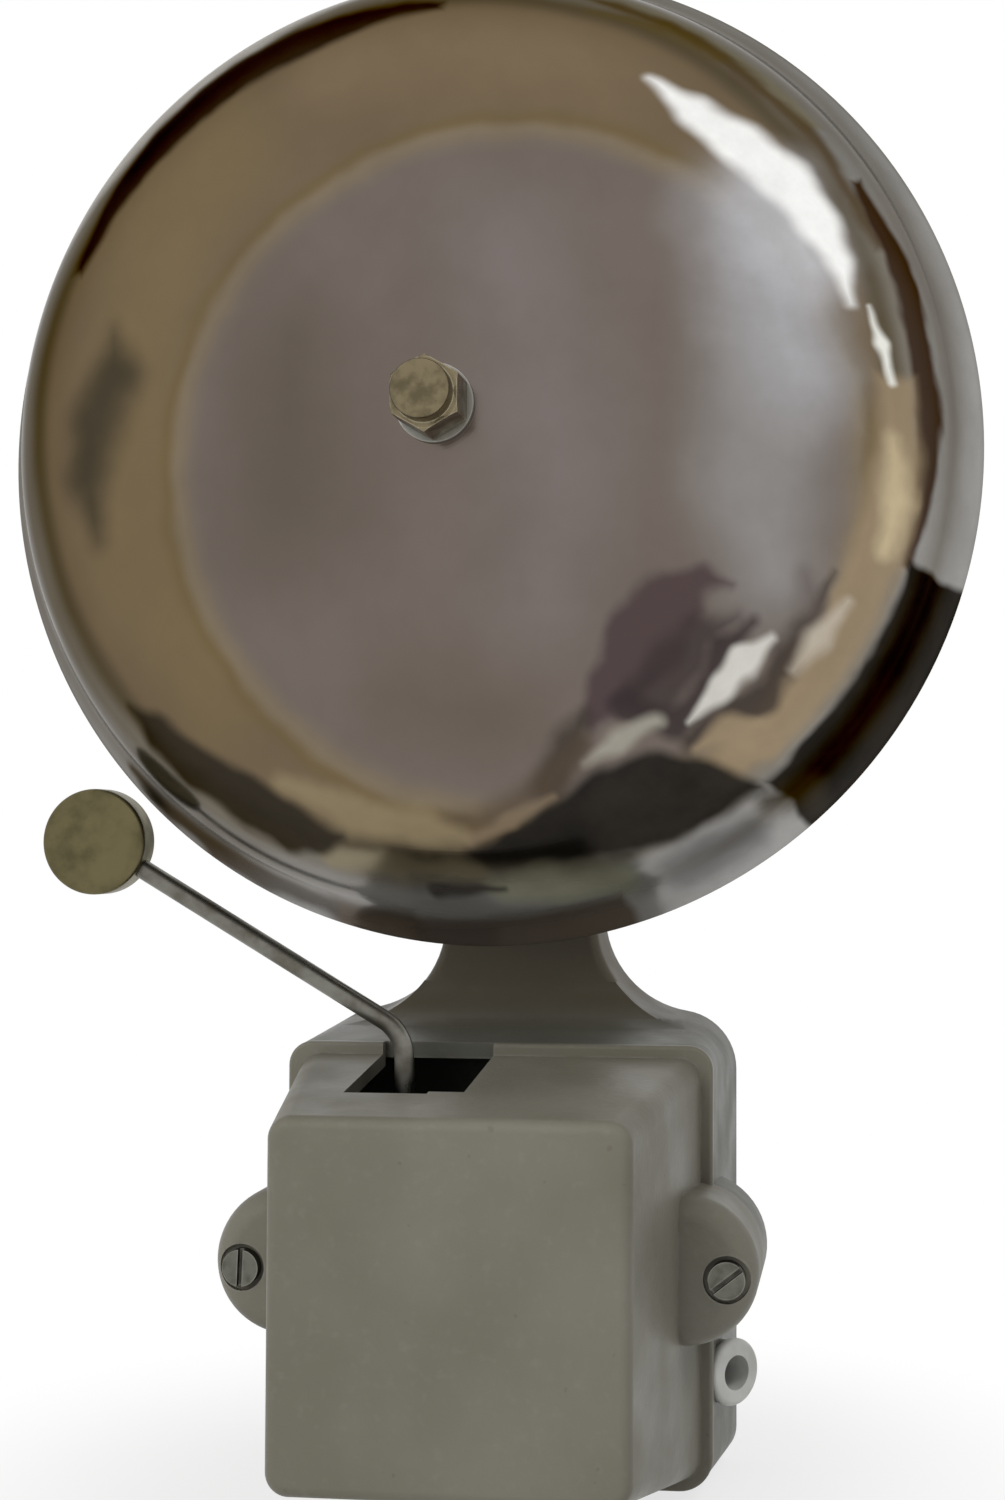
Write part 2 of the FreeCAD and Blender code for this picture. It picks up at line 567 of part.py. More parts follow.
def box_wire(y, half_width, floor, top, corner, foot):
    """A rectangle in an upright plane, with its own radii above and below."""
    def place(x, z):
        return V(x, y, z)
    quarter = math.pi / 2
    high, low = top - corner, floor + foot
    edges = [line_edge(place(foot - half_width, floor), place(half_width - foot, floor)),
             arc_edge((half_width - foot, low), foot, -quarter, 0, place),
             line_edge(place(half_width, low), place(half_width, high)),
             arc_edge((half_width - corner, high), corner, 0, quarter, place),
             line_edge(place(half_width - corner, top), place(corner - half_width, top)),
             arc_edge((corner - half_width, high), corner, quarter, math.pi, place),
             line_edge(place(-half_width, high), place(-half_width, low)),
             arc_edge((foot - half_width, low), foot, math.pi, 3 * quarter, place)]
    return Part.Wire(edges)


def loft(wires):
    """A solid between parallel outlines, with straight sides."""
    return Part.makeLoft(wires, True, True)


def neck_root_z():
    """Height of the case's top where the sweep up to the neck begins."""
    slope = (REAR_TOP - CASE_TOP) / CASE_DEPTH
    return REAR_TOP + slope * (NECK_Y - NECK_ROOT_RADIUS)


def case_side_profile():
    """The casting seen from its side, as a slab: box, sweep at the root of the neck, neck."""
    root_y = NECK_Y - NECK_ROOT_RADIUS
    root_z = neck_root_z()
    low = REAR_FLOOR - LOOSE
    high = GONG_Z + NECK_HALF_WIDTH + LOOSE
    reach = REAR_HALF_WIDTH + LOOSE

    def place(y, z):
        return V(-reach, y, z)
    edges = [line_edge(place(0, low), place(0, high)),
             line_edge(place(0, high), place(NECK_Y, high)),
             line_edge(place(NECK_Y, high), place(NECK_Y, root_z + NECK_ROOT_RADIUS)),
             arc_edge((root_y, root_z + NECK_ROOT_RADIUS), NECK_ROOT_RADIUS, 0, -math.pi / 2, place),
             line_edge(place(root_y, root_z), place(PARTING_Y, CASE_TOP)),
             line_edge(place(PARTING_Y, CASE_TOP), place(PARTING_Y, low)),
             line_edge(place(PARTING_Y, low), place(0, low))]
    return Part.Face(Part.Wire(edges)).extrude(V(2 * reach, 0, 0))


def entry_direction():
    """The way the cable entry points."""
    angle = math.radians(ENTRY_ANGLE)
    return V(math.cos(angle), -math.sin(angle), 0)


def entry_cylinder(radius, near, far):
    """A cylinder on the axis of the cable entry, between two distances inwards from its face."""
    along = entry_direction()
    face = V(CASE_HALF_WIDTH + ENTRY_OUTSET, PARTING_Y + ENTRY_SETBACK, ENTRY_Z)
    return Part.makeCylinder(radius, far - near, face - along * far, along)


def ear(side, y_front, y_rear):
    """The lobe on one side of the case that holds a cover screw."""
    return rod_y(EAR_RADIUS, y_front, y_rear, side * EAR_X, EAR_Z)


def inside_of_case():
    """The hollow of the rear casting."""
    share = (CASE_DEPTH - BACK_WALL) / CASE_DEPTH
    rear_half = CASE_HALF_WIDTH + share * (REAR_HALF_WIDTH - CASE_HALF_WIDTH) - CASE_WALL
    rear_floor = CASE_FLOOR + share * (REAR_FLOOR - CASE_FLOOR) + CASE_WALL
    rear_top = CASE_TOP + share * (REAR_TOP - CASE_TOP) - CASE_WALL
    foot = CASE_FOOT_CORNER - CASE_WALL
    corner = PARTING_CORNER
    return loft([box_wire(BACK_Y, rear_half, rear_floor, rear_top, REAR_TOP_CORNER - CASE_WALL, foot),
                 box_wire(PARTING_Y - LOOSE, CASE_HALF_WIDTH - CASE_WALL, CASE_FLOOR + CASE_WALL,
                          CASE_TOP - CASE_WALL, corner, foot)])


def outer_form():
    """Box and neck from the outside, with the neck's front edge rounded above its root."""
    rear = bottle_wire(0, REAR_HALF_WIDTH, REAR_FLOOR, REAR_TOP, REAR_TOP_CORNER, NECK_HALF_WIDTH, GONG_Z)
    front = bottle_wire(PARTING_Y, CASE_HALF_WIDTH, CASE_FLOOR, CASE_TOP, PARTING_CORNER,
                        NECK_HALF_WIDTH - NECK_DRAFT, GONG_Z)
    form = loft([rear, front])
    root_z = neck_root_z() + NECK_ROOT_RADIUS + 0.6
    reach = REAR_HALF_WIDTH + LOOSE
    top = GONG_Z + reach
    neck = form.common(block(-reach, reach, 0, NECK_Y, root_z, top))
    neck = neck.makeFillet(NECK_EDGE_ROUND, edges_at(
        neck, lambda m, e: abs(m.y - NECK_Y) < 0.01 and m.z > root_z + 0.5))
    box = form.common(case_side_profile())
    box = box.common(block(-reach, reach, 0, PARTING_Y - LOOSE, REAR_FLOOR - LOOSE, root_z))
    return fuse([box, neck])


def make_rear_casting():
    """Back box, neck and gong boss in one iron casting."""
    body = outer_form()
    boss = Part.makeCone(GONG_BOSS_RADIUS, GONG_BOSS_RADIUS - GONG_BOSS_TAPER, GONG_BOSS_HEIGHT + LOOSE,
                         V(0, NECK_Y + LOOSE, GONG_Z), V(0, -1, 0))
    ears = []
    for side in (-1, 1):
        lobe = ear(side, PARTING_Y, -EAR_REAR_DEPTH)
        ears.append(lobe.makeChamfer(EAR_REAR_CHAMFER, edges_at(
            lobe, lambda m, e: abs(m.y + EAR_REAR_DEPTH) < 0.01)))
    entry = entry_cylinder(ENTRY_BOSS_RADIUS, BUSH_FLANGE_THICKNESS, ENTRY_BOSS_LENGTH)
    body = fuse([body, boss, entry] + ears).cut(inside_of_case())
    return fuse([body, entry.common(inside_of_case())] + inner_bosses()).cut(fuse_tools(casting_holes()))


def inner_bosses():
    """The bosses on the inner face of the back wall."""
    bosses = [rod_y(FRAME_SCREW_HEAD_RADIUS + FRAME_BOSS_MARGIN, BACK_Y + LOOSE, FRAME_BACK_Y, x, z)
              for x, z in FRAME_SCREW_SPOTS]
    bosses.append(block(CONTACT_X - BLOCK_HALF_WIDTH, CONTACT_X + BLOCK_HALF_WIDTH, BACK_Y + LOOSE,
                        BLOCK_BACK_Y, BLOCK_LOW, BLOCK_HIGH))
    bosses.append(block(TERMINAL_X - TERMINAL_HALF_WIDTH, TERMINAL_X + TERMINAL_HALF_WIDTH,
                        BACK_Y + LOOSE, BLOCK_BACK_Y, TERMINAL_LOW, TERMINAL_HIGH))
    for side in (-1, 1):
        bosses.append(rod_y(WALL_BOSS_RADIUS, BACK_Y + LOOSE, BACK_Y - WALL_BOSS_HEIGHT,
                            side * WALL_SCREW_SPACING / 2, 0))
    return bosses


def casting_holes():
    """Everything that is drilled, tapped or cored in the casting."""
    holes = [rod_y(PILLAR_TENON_RADIUS, BOSS_FACE_Y + PILLAR_TENON_LENGTH, BOSS_FACE_Y - LOOSE, 0, GONG_Z),
             rod_y(WALL_HOLE_RADIUS, LOOSE, NECK_Y - LOOSE, 0, GONG_Z - UPPER_WALL_HOLE_DROP),
             entry_cylinder(ENTRY_BORE_RADIUS, -LOOSE, ENTRY_BOSS_LENGTH + LOOSE),
             entry_cylinder(BUSH_FLANGE_RADIUS + BUSH_SEAT_CLEARANCE, -BUSH_FLANGE_RADIUS,
                            BUSH_FLANGE_THICKNESS),
             neck_pocket(),
             rod_y(SMALL_SCREW_RADIUS, BLOCK_BACK_Y - LOOSE, BLOCK_BACK_Y + SMALL_SCREW_BITE + BLIND_END,
                   TERMINAL_X, TERMINAL_MID)]
    for side in (-1, 1):
        holes.append(rod_y(WALL_HOLE_RADIUS, LOOSE, BACK_Y - WALL_BOSS_HEIGHT - LOOSE,
                           side * WALL_SCREW_SPACING / 2, 0))
        holes.append(rod_y(COVER_SCREW_RADIUS, PARTING_Y - LOOSE, PARTING_Y + COVER_SCREW_GRIP + BLIND_END,
                           side * COVER_SCREW_X, COVER_SCREW_Z))
    for x, z in FRAME_SCREW_SPOTS:
        holes.append(rod_y(FRAME_SCREW_RADIUS, FRAME_BACK_Y - LOOSE,
                           FRAME_TAB_Y + FRAME_SCREW_GRIP + BLIND_END, x, z))
    for x, z in block_screw_spots():
        holes.append(rod_y(SMALL_SCREW_RADIUS, BLOCK_BACK_Y - LOOSE,
                           BLOCK_BACK_Y + SMALL_SCREW_BITE + BLIND_END, x, z))
    return holes


def fuse_tools(tools):
    """Cutting tools as one compound."""
    return Part.makeCompound(tools)


def neck_pocket():
    """The shallow core pocket that lightens the back of the neck."""
    half = NECK_HALF_WIDTH - NECK_POCKET_MARGIN
    low = CASE_TOP + NECK_POCKET_LIFT + half
    high = low + NECK_POCKET_LENGTH - 2 * half
    slab = block(-half, half, LOOSE, -NECK_POCKET_DEPTH, low, high)
    return fuse([slab, rod_y(half, LOOSE, -NECK_POCKET_DEPTH, 0, low),
                 rod_y(half, LOOSE, -NECK_POCKET_DEPTH, 0, high)])


def cover_body_wire(y, inset):
    """The outline of the cover's drafted body in one upright plane, at a distance inwards from it."""
    share = (LEDGE_Y - y) / (LEDGE_Y - FRONT_Y)
    margin = FLANGE_LEDGE + inset
    half_width = CASE_HALF_WIDTH - margin - share * COVER_SIDE_DRAFT
    top = CASE_TOP - margin - share * COVER_HEAD_DRAFT
    floor = CASE_FLOOR + margin + share * COVER_FOOT_DRAFT
    return box_wire(y, half_width, floor, top, COVER_CORNER - inset, COVER_CORNER - inset)


def cover_flange():
    """The flange that lies on the casting, from the outside."""
    flange = loft([box_wire(y, CASE_HALF_WIDTH, CASE_FLOOR, CASE_TOP, PARTING_CORNER, CASE_FOOT_CORNER)
                   for y in (PARTING_Y, LEDGE_Y)])
    return flange.makeFillet(FLANGE_EDGE_ROUND, edges_at(flange, lambda m, e: abs(m.y - LEDGE_Y) < 0.01))


def make_front_cover():
    """The cast cover: a deep drafted box with a flange, a notch for the hammer rod and two ears."""
    body = loft([cover_body_wire(PARTING_Y, 0), cover_body_wire(FRONT_Y, 0)])
    body = body.makeFillet(COVER_EDGE_ROUND, edges_at(body, lambda m, e: abs(m.y - FRONT_Y) < 0.01))
    lobes = []
    for side in (-1, 1):
        lobe = ear(side, EAR_FRONT_Y, PARTING_Y)
        lobes.append(lobe.makeFillet(EAR_FRONT_ROUND, edges_at(
            lobe, lambda m, e: abs(m.y - EAR_FRONT_Y) < 0.01)))
    cuts = [notch_tool()]
    for side in (-1, 1):
        x = side * COVER_SCREW_X
        cuts.append(rod_y(COVER_SCREW_HOLE_RADIUS, EAR_FRONT_Y - LOOSE, PARTING_Y + LOOSE,
                          x, COVER_SCREW_Z))
        cuts.append(rod_y(COVER_SCREW_RECESS_RADIUS, EAR_FRONT_Y - LOOSE,
                          EAR_FRONT_Y + COVER_SCREW_RECESS_DEPTH, x, COVER_SCREW_Z))
    inside = loft([cover_body_wire(PARTING_Y + LOOSE, COVER_WALL),
                   cover_body_wire(COVER_INNER_Y, COVER_WALL)])
    return fuse([body, cover_flange()] + lobes).cut(inside).cut(fuse_tools(cuts))


def notch_tool():
    """What the notch takes away: a slot through the cover's top, open towards the neck, with a low lug."""
    front = FRONT_Y + NOTCH_SETBACK
    low = CASE_TOP - FLANGE_LEDGE - COVER_HEAD_DRAFT - 2 * COVER_WALL
    slot = block(NOTCH_LEFT, NOTCH_RIGHT, front, PARTING_Y + LOOSE, low, CASE_TOP + LOOSE)
    lug = block(NOTCH_RIGHT - NOTCH_LUG_WIDTH, NOTCH_RIGHT, front - LOOSE, front + NOTCH_LUG_HEIGHT,
                low - LOOSE, CASE_TOP + LOOSE)
    return slot.cut(lug)


def make_cover_screws():
    """The two slotted screws that hold the cover."""
    seat = EAR_FRONT_Y + COVER_SCREW_RECESS_DEPTH
    grip = PARTING_Y + COVER_SCREW_GRIP - seat
    screws = []
    for side, turn in ((-1, COVER_SCREW_LEFT_TURN), (1, COVER_SCREW_RIGHT_TURN)):
        screw = cheese_screw(COVER_SCREW_RADIUS, COVER_SCREW_HEAD_RADIUS, COVER_SCREW_HEAD_HEIGHT,
                             grip, turn)
        screws.append(moved(screw, side * COVER_SCREW_X, seat, COVER_SCREW_Z))
    return group(screws)


def make_cable_bush():
    """The moulded ring that lines the cable entry."""
    flange = entry_cylinder(BUSH_FLANGE_RADIUS, 0, BUSH_FLANGE_THICKNESS)
    flange = flange.makeFillet(BUSH_FLANGE_ROUND, edges_at(flange, lambda m, e: is_circle(e)))
    barrel = entry_cylinder(ENTRY_BORE_RADIUS, BUSH_FLANGE_THICKNESS / 2, BUSH_LENGTH)
    return fuse([flange, barrel]).cut(entry_cylinder(BUSH_BORE_RADIUS, -LOOSE, BUSH_LENGTH + LOOSE))


# ================================================================ hammer
def head_place():
    """The middle of the hammer head, in the plane of the front view.

    The rod runs from its bend past the gong at a set gap, and the head lies on it where it just
    clears the rim.
    """
    from_axis = (PIVOT_X, ROD_BEND_Z - GONG_Z)
    distance = math.hypot(*from_axis)
    pass_radius = GONG_RADIUS + ROD_RIM_GAP + ROD_RADIUS
    head_radius = GONG_RADIUS + HEAD_STRIKE_GAP + HEAD_RADIUS
    heading = math.atan2(-from_axis[1], -from_axis[0]) + math.asin(pass_radius / distance)
    reach = math.sqrt(distance ** 2 - pass_radius ** 2) + math.sqrt(head_radius ** 2 - pass_radius ** 2)
    return PIVOT_X + reach * math.cos(heading), ROD_BEND_Z + reach * math.sin(heading)


def rod_path():
    """The bent line of the hammer rod, and the direction in which it enters the head."""
    head_x, head_z = head_place()
    foot = V(PIVOT_X, ROD_Y, PIVOT_Z + ROD_FOOT_RISE)
    bend = V(PIVOT_X, ROD_Y, ROD_BEND_Z)
    head = V(head_x, HEAD_Y, head_z)
    up = V(0, 0, 1)
    out = (head - bend).normalize()
    turn = up.getAngle(out)
    tangent = ROD_BEND_RADIUS * math.tan(turn / 2)
    inward = (out - up).normalize()
    start = bend - up * tangent
    middle = bend + inward * (ROD_BEND_RADIUS / math.cos(turn / 2) - ROD_BEND_RADIUS)
    end = bend + out * tangent
    tip = head - out * (HEAD_RADIUS - ROD_SINK)
    return foot, start, middle, end, tip, out


def make_hammer_rod():
    """The round steel rod, bent once."""
    foot, start, middle, end, tip, out = rod_path()
    path = Part.Wire([line_edge(foot, start), Part.Arc(start, middle, end).toShape(), line_edge(end, tip)])
    circle = Part.Wire([Part.Circle(foot, V(0, 0, 1), ROD_RADIUS).toShape()])
    return path.makePipeShell([circle], True, False)


def make_hammer_head():
    """The brass disc that strikes the gong's rim."""
    tip, out = rod_path()[-2:]
    head_x, head_z = head_place()
    half = HEAD_THICKNESS / 2
    head = rod_y(HEAD_RADIUS, HEAD_Y - half, HEAD_Y + half, head_x, head_z)
    head = head.makeFillet(HEAD_EDGE_ROUND, edges_at(head, lambda m, e: is_circle(e)))
    hole = Part.makeCylinder(ROD_RADIUS, HEAD_RADIUS + LOOSE, tip, out * -1)
    return head.cut(hole)


def make_armature():
    """The soft-iron lever: a hinge barrel, the plate above the poles, the rod boss and the spring tail."""
    plate_left = PIVOT_X + ARMATURE_LEFT_REACH
    barrel = rod_y(BARREL_RADIUS, BARREL_FRONT_Y, BARREL_REAR_Y, PIVOT_X, PIVOT_Z)
    plate = block(plate_left, FRAME_RIGHT, ARMATURE_FRONT_Y, FRAME_TAB_Y - ARMATURE_REAR_GAP,
                  ARMATURE_LOW, ARMATURE_TOP)
    web = block(PIVOT_X, plate_left + LOOSE, BARREL_FRONT_Y, BARREL_REAR_Y, ARMATURE_LOW, ARMATURE_TOP)
    arm = block(PIVOT_X, plate_left + LOOSE, ARMATURE_FRONT_Y, PIVOT_EAR_Y - PIN_OVERHANG - ARM_GAP,
                ARMATURE_LOW, ARMATURE_TOP)
    boss = rod_z(ROD_BOSS_RADIUS, PIVOT_Z - ROD_BOSS_DROP, PIVOT_Z + ROD_BOSS_RISE, PIVOT_X, ROD_Y)
    tail = block(TAIL_X - TAIL_WIDTH / 2, PIVOT_X, -TAIL_DEPTH - TAIL_WIDTH / 2, -TAIL_DEPTH + TAIL_WIDTH / 2,
                 PIVOT_Z - TAIL_DROP, PIVOT_Z - TAIL_DROP + TAIL_THICKNESS)
    cuts = [rod_y(PIN_RADIUS + RUNNING_CLEARANCE, BARREL_FRONT_Y - LOOSE, 0, PIVOT_X, PIVOT_Z),
            rod_z(ROD_RADIUS, PIVOT_Z + ROD_FOOT_RISE, PIVOT_Z + ROD_BOSS_RISE + LOOSE, PIVOT_X, ROD_Y),
            rod_z(TAIL_HOLE_RADIUS, PIVOT_Z - BARREL_RADIUS, PIVOT_Z + BARREL_RADIUS, TAIL_X, -TAIL_DEPTH),
            Part.makeCylinder(CLAMP_SCREW_RADIUS, ROD_BOSS_RADIUS + LOOSE,
                              V(PIVOT_X - ROD_BOSS_RADIUS - LOOSE, ROD_Y, CLAMP_Z), V(1, 0, 0))]
    for x in RIVET_XS:
        cuts.append(rod_z(RIVET_RADIUS, ARMATURE_LOW - LOOSE, ARMATURE_TOP + LOOSE, x, CONTACT_Y))
    return fuse([barrel, plate, web, arm, boss, tail]).cut(fuse_tools(cuts))


def make_rod_clamp_screw():
    """The screw that grips the rod in the armature's boss."""
    screw = cheese_screw(CLAMP_SCREW_RADIUS, CLAMP_SCREW_HEAD_RADIUS, CLAMP_SCREW_HEAD_HEIGHT,
                         ROD_BOSS_RADIUS - ROD_RADIUS)
    screw.rotate(V(0, 0, 0), V(0, 0, 1), -90)
    return moved(screw, PIVOT_X - ROD_BOSS_RADIUS, ROD_Y, CLAMP_Z)


def make_pivot_pin():
    """The steel pin on which the armature turns."""
    return rod_y(PIN_RADIUS, PIVOT_EAR_Y - PIN_OVERHANG, FRAME_BACK_Y, PIVOT_X, PIVOT_Z)


# ================================================================ magnet
def make_magnet_frame():
    """The folded steel frame: yoke below, back tab, left side and the front pivot ear."""
    side_right = FRAME_LEFT + FRAME_SIDE_THICKNESS
    back = block(FRAME_LEFT, FRAME_RIGHT, FRAME_BACK_Y, FRAME_TAB_Y, YOKE_LOW, FRAME_TOP)
    tab = block(FRAME_RIGHT - FRAME_TAB_WIDTH, FRAME_RIGHT, FRAME_BACK_Y, FRAME_TAB_Y, FRAME_TOP - LOOSE,
                FRAME_TOP + FRAME_TAB_RISE)
    yoke = block(FRAME_LEFT, FRAME_RIGHT, FRAME_BACK_Y, WORKS_Y + FRAME_FRONT_GAP, YOKE_LOW, YOKE_TOP)
    side = block(FRAME_LEFT, side_right, FRAME_BACK_Y, PIVOT_EAR_Y, YOKE_LOW, FRAME_TOP)
    ear_rear_y = PIVOT_EAR_Y + PIVOT_EAR_THICKNESS
    pivot_ear = fuse([block(FRAME_LEFT, PIVOT_X, PIVOT_EAR_Y, ear_rear_y, PIVOT_Z - PIVOT_EAR_HALF_HEIGHT,
                            FRAME_TOP),
                      rod_y(BARREL_RADIUS, PIVOT_EAR_Y, ear_rear_y, PIVOT_X, PIVOT_Z)])
    window = block(FRAME_LEFT - LOOSE, side_right + LOOSE, -SIDE_WINDOW_FAR, -SIDE_WINDOW_NEAR,
                   YOKE_TOP + SIDE_WINDOW_LIFT, YOKE_TOP + SIDE_WINDOW_LIFT + SIDE_WINDOW_HEIGHT)
    cuts = [rod_y(PIN_RADIUS, FRAME_BACK_Y + LOOSE, PIVOT_EAR_Y - LOOSE, PIVOT_X, PIVOT_Z),
            Part.makeCylinder(SPRING_WIRE, FRAME_SIDE_THICKNESS + 2 * LOOSE,
                              V(FRAME_LEFT - LOOSE, -TAIL_DEPTH, SPRING_PIN_Z), V(1, 0, 0))]
    for y in (REAR_COIL_Y, FRONT_COIL_Y):
        cuts.append(rod_z(CORE_SCREW_RADIUS, YOKE_LOW - LOOSE, YOKE_TOP + LOOSE, COIL_X, y))
    for x, z in FRAME_SCREW_SPOTS:
        cuts.append(rod_y(FRAME_SCREW_RADIUS, FRAME_BACK_Y + LOOSE, FRAME_TAB_Y - LOOSE, x, z))
    return fuse([back, tab, yoke, side, pivot_ear]).cut(window).cut(fuse_tools(cuts))


def make_frame_screws():
    """The three screws that fix the magnet frame to the casting."""
    screw = cheese_screw(FRAME_SCREW_RADIUS, FRAME_SCREW_HEAD_RADIUS, FRAME_SCREW_HEAD_HEIGHT,
                         FRAME_SCREW_GRIP, FRAME_SCREW_TURN)
    return group([moved(screw, x, FRAME_TAB_Y, z) for x, z in FRAME_SCREW_SPOTS])


def make_core(y):
    """One soft-iron core, standing on the yoke and tapped for its screw."""
    core = rod_z(CORE_RADIUS, YOKE_TOP, POLE_Z, COIL_X, y)
    tapped_end = YOKE_LOW + CORE_SCREW_GRIP + BLIND_END
    return core.cut(rod_z(CORE_SCREW_RADIUS, YOKE_TOP - LOOSE, tapped_end, COIL_X, y))


def make_bobbin(y):
    """One moulded coil former: a tube between two flanges."""
    tube = rod_z(BOBBIN_TUBE_RADIUS, YOKE_TOP, BOBBIN_TOP, COIL_X, y)
    lower = rod_z(COIL_RADIUS, YOKE_TOP, YOKE_TOP + BOBBIN_FLANGE, COIL_X, y)
    upper = rod_z(COIL_RADIUS, BOBBIN_TOP - BOBBIN_FLANGE, BOBBIN_TOP, COIL_X, y)
    bore = rod_z(CORE_RADIUS + BOBBIN_CLEARANCE, YOKE_TOP - LOOSE, BOBBIN_TOP + LOOSE, COIL_X, y)
    return fuse([tube, lower, upper]).cut(bore)


def make_winding(y):
    """One winding of enamelled copper wire with its paper wrap."""
    low, high = YOKE_TOP + BOBBIN_FLANGE, BOBBIN_TOP - BOBBIN_FLANGE
    body = rod_z(COIL_RADIUS - WINDING_INSET, low, high, COIL_X, y)
    return body.cut(rod_z(BOBBIN_TUBE_RADIUS, low - LOOSE, high + LOOSE, COIL_X, y))


def make_core_screws():
    """The two screws that pull the cores down on the yoke."""
    screws = []
    for y in (REAR_COIL_Y, FRONT_COIL_Y):
        screw = cheese_screw(CORE_SCREW_RADIUS, CORE_SCREW_HEAD_RADIUS, CORE_SCREW_HEAD_HEIGHT,
                             CORE_SCREW_GRIP)
        screw.rotate(V(0, 0, 0), V(1, 0, 0), 90)
        screws.append(moved(screw, COIL_X, y, YOKE_LOW))
    return group(screws)


def make_return_spring():
    """The close-wound tension spring that draws the armature's tail down."""
    low = SPRING_FOOT_Z + SPRING_HOOK_LENGTH
    high = PIVOT_Z - TAIL_DROP - SPRING_HOOK_LENGTH
    pitch = (high - low) / SPRING_COILS
    inner = SPRING_RADIUS - SPRING_WIRE
    valley = SPRING_RADIUS - SPRING_WIRE / 2
    points = [V(inner, 0, high), V(inner, 0, low), V(valley, 0, low)]
    for i in range(SPRING_COILS):
        points.append(V(SPRING_RADIUS, 0, low + (i + 0.5) * pitch))
        points.append(V(valley, 0, low + (i + 1) * pitch))
    points.append(points[0])
    coil = Part.Face(Part.makePolygon(points)).revolve(V(0, 0, 0), V(0, 0, 1), 360)
    wire = SPRING_WIRE / 2
    hooks = [rod_z(wire, SPRING_PIN_Z, low, 0, 0),
             rod_z(wire, high, PIVOT_Z - TAIL_DROP + TAIL_THICKNESS, 0, 0)]
    bars = [block(-wire, valley, -wire, wire, z, z + SPRING_WIRE) for z in (low, high - SPRING_WIRE)]
    return moved(fuse([coil] + hooks + bars), TAIL_X, -TAIL_DEPTH, 0)


def make_spring_anchor():
    """The pin in the frame's side that holds the lower end of the return spring."""
    start = V(FRAME_LEFT, -TAIL_DEPTH, SPRING_PIN_Z)
    pin = Part.makeCylinder(SPRING_WIRE, TAIL_X + SPRING_RADIUS - FRAME_LEFT, start, V(1, 0, 0))
    return pin.cut(rod_z(SPRING_WIRE / 2, SPRING_PIN_Z - SPRING_RADIUS, SPRING_FOOT_Z, TAIL_X, -TAIL_DEPTH))


# ================================================================ contacts
def make_contact_leaf():
    """The flat bronze spring on the armature that carries the moving contact."""
    half = LEAF_WIDTH / 2
    leaf = block(LEAF_LEFT, CONTACT_X + LEAF_TIP, CONTACT_Y - half, CONTACT_Y + half,
                 ARMATURE_TOP, LEAF_TOP)
    tools = [rod_z(RIVET_RADIUS, ARMATURE_TOP - LOOSE, LEAF_TOP + LOOSE, x, CONTACT_Y) for x in RIVET_XS]
    tools.append(rod_z(TIP_SHANK_RADIUS, ARMATURE_TOP - LOOSE, LEAF_TOP + LOOSE, CONTACT_X, CONTACT_Y))
    return leaf.cut(fuse_tools(tools))


def make_leaf_rivets():
    """Two rivets that hold the contact spring on the armature."""
    rivets = []
    for x in RIVET_XS:
        shank = rod_z(RIVET_RADIUS, ARMATURE_LOW, LEAF_TOP, x, CONTACT_Y)
        head = rod_z(RIVET_HEAD_RADIUS, LEAF_TOP, LEAF_TOP + RIVET_HEAD_HEIGHT, x, CONTACT_Y)
        rivets.append(fuse([shank, head]))
    return group(rivets)


def make_moving_contact():
    """The silver contact rivet at the free end of the leaf."""
    head = rod_z(TIP_RADIUS, LEAF_TOP, TIP_TOP, CONTACT_X, CONTACT_Y)
    shank = rod_z(TIP_SHANK_RADIUS, ARMATURE_TOP, LEAF_TOP, CONTACT_X, CONTACT_Y)
    foot = rod_z(TIP_FOOT_RADIUS, ARMATURE_TOP - LEAF_THICKNESS, ARMATURE_TOP, CONTACT_X, CONTACT_Y)
    return fuse([head, shank, foot])


def block_screw_spots():
    """The two screws of the contact block, below and above the arm."""
    return ((CONTACT_X, (BLOCK_LOW + ARM_LOW) / 2), (CONTACT_X, (ARM_TOP + BLOCK_HIGH) / 2))


def make_contact_block():
    """The moulded block that insulates the contact arm from the casting."""
    body = block(CONTACT_X - BLOCK_HALF_WIDTH, CONTACT_X + BLOCK_HALF_WIDTH, BLOCK_BACK_Y, BLOCK_FRONT_Y,
                 BLOCK_LOW, BLOCK_HIGH)
    tools = [rod_y(SMALL_SCREW_RADIUS, BLOCK_BACK_Y + LOOSE, BLOCK_FRONT_Y - LOOSE, x, z)
             for x, z in block_screw_spots()]
    return body.cut(fuse_tools(tools))


def make_contact_arm():
    """The brass bracket that reaches forward over the leaf and carries the contact screw."""
    half = ARM_WIDTH / 2
    reach = BLOCK_HALF_WIDTH - ARM_FLANGE_MARGIN
    flange = block(CONTACT_X - reach, CONTACT_X + reach, BLOCK_FRONT_Y, ARM_FLANGE_Y,
                   BLOCK_LOW + ARM_FLANGE_MARGIN, BLOCK_HIGH - ARM_FLANGE_MARGIN)
    bar = block(CONTACT_X - half, CONTACT_X + half, BLOCK_FRONT_Y, CONTACT_Y, ARM_LOW, ARM_TOP)
    nose = rod_z(half, ARM_LOW, ARM_TOP, CONTACT_X, CONTACT_Y)
    tools = [rod_y(SMALL_SCREW_RADIUS, BLOCK_FRONT_Y + LOOSE, ARM_FLANGE_Y - LOOSE, x, z)
             for x, z in block_screw_spots()]
    tools.append(rod_z(CONTACT_SCREW_RADIUS + RUNNING_CLEARANCE, ARM_LOW - LOOSE, ARM_TOP + LOOSE,
                       CONTACT_X, CONTACT_Y))
    return fuse([flange, bar, nose]).cut(fuse_tools(tools))


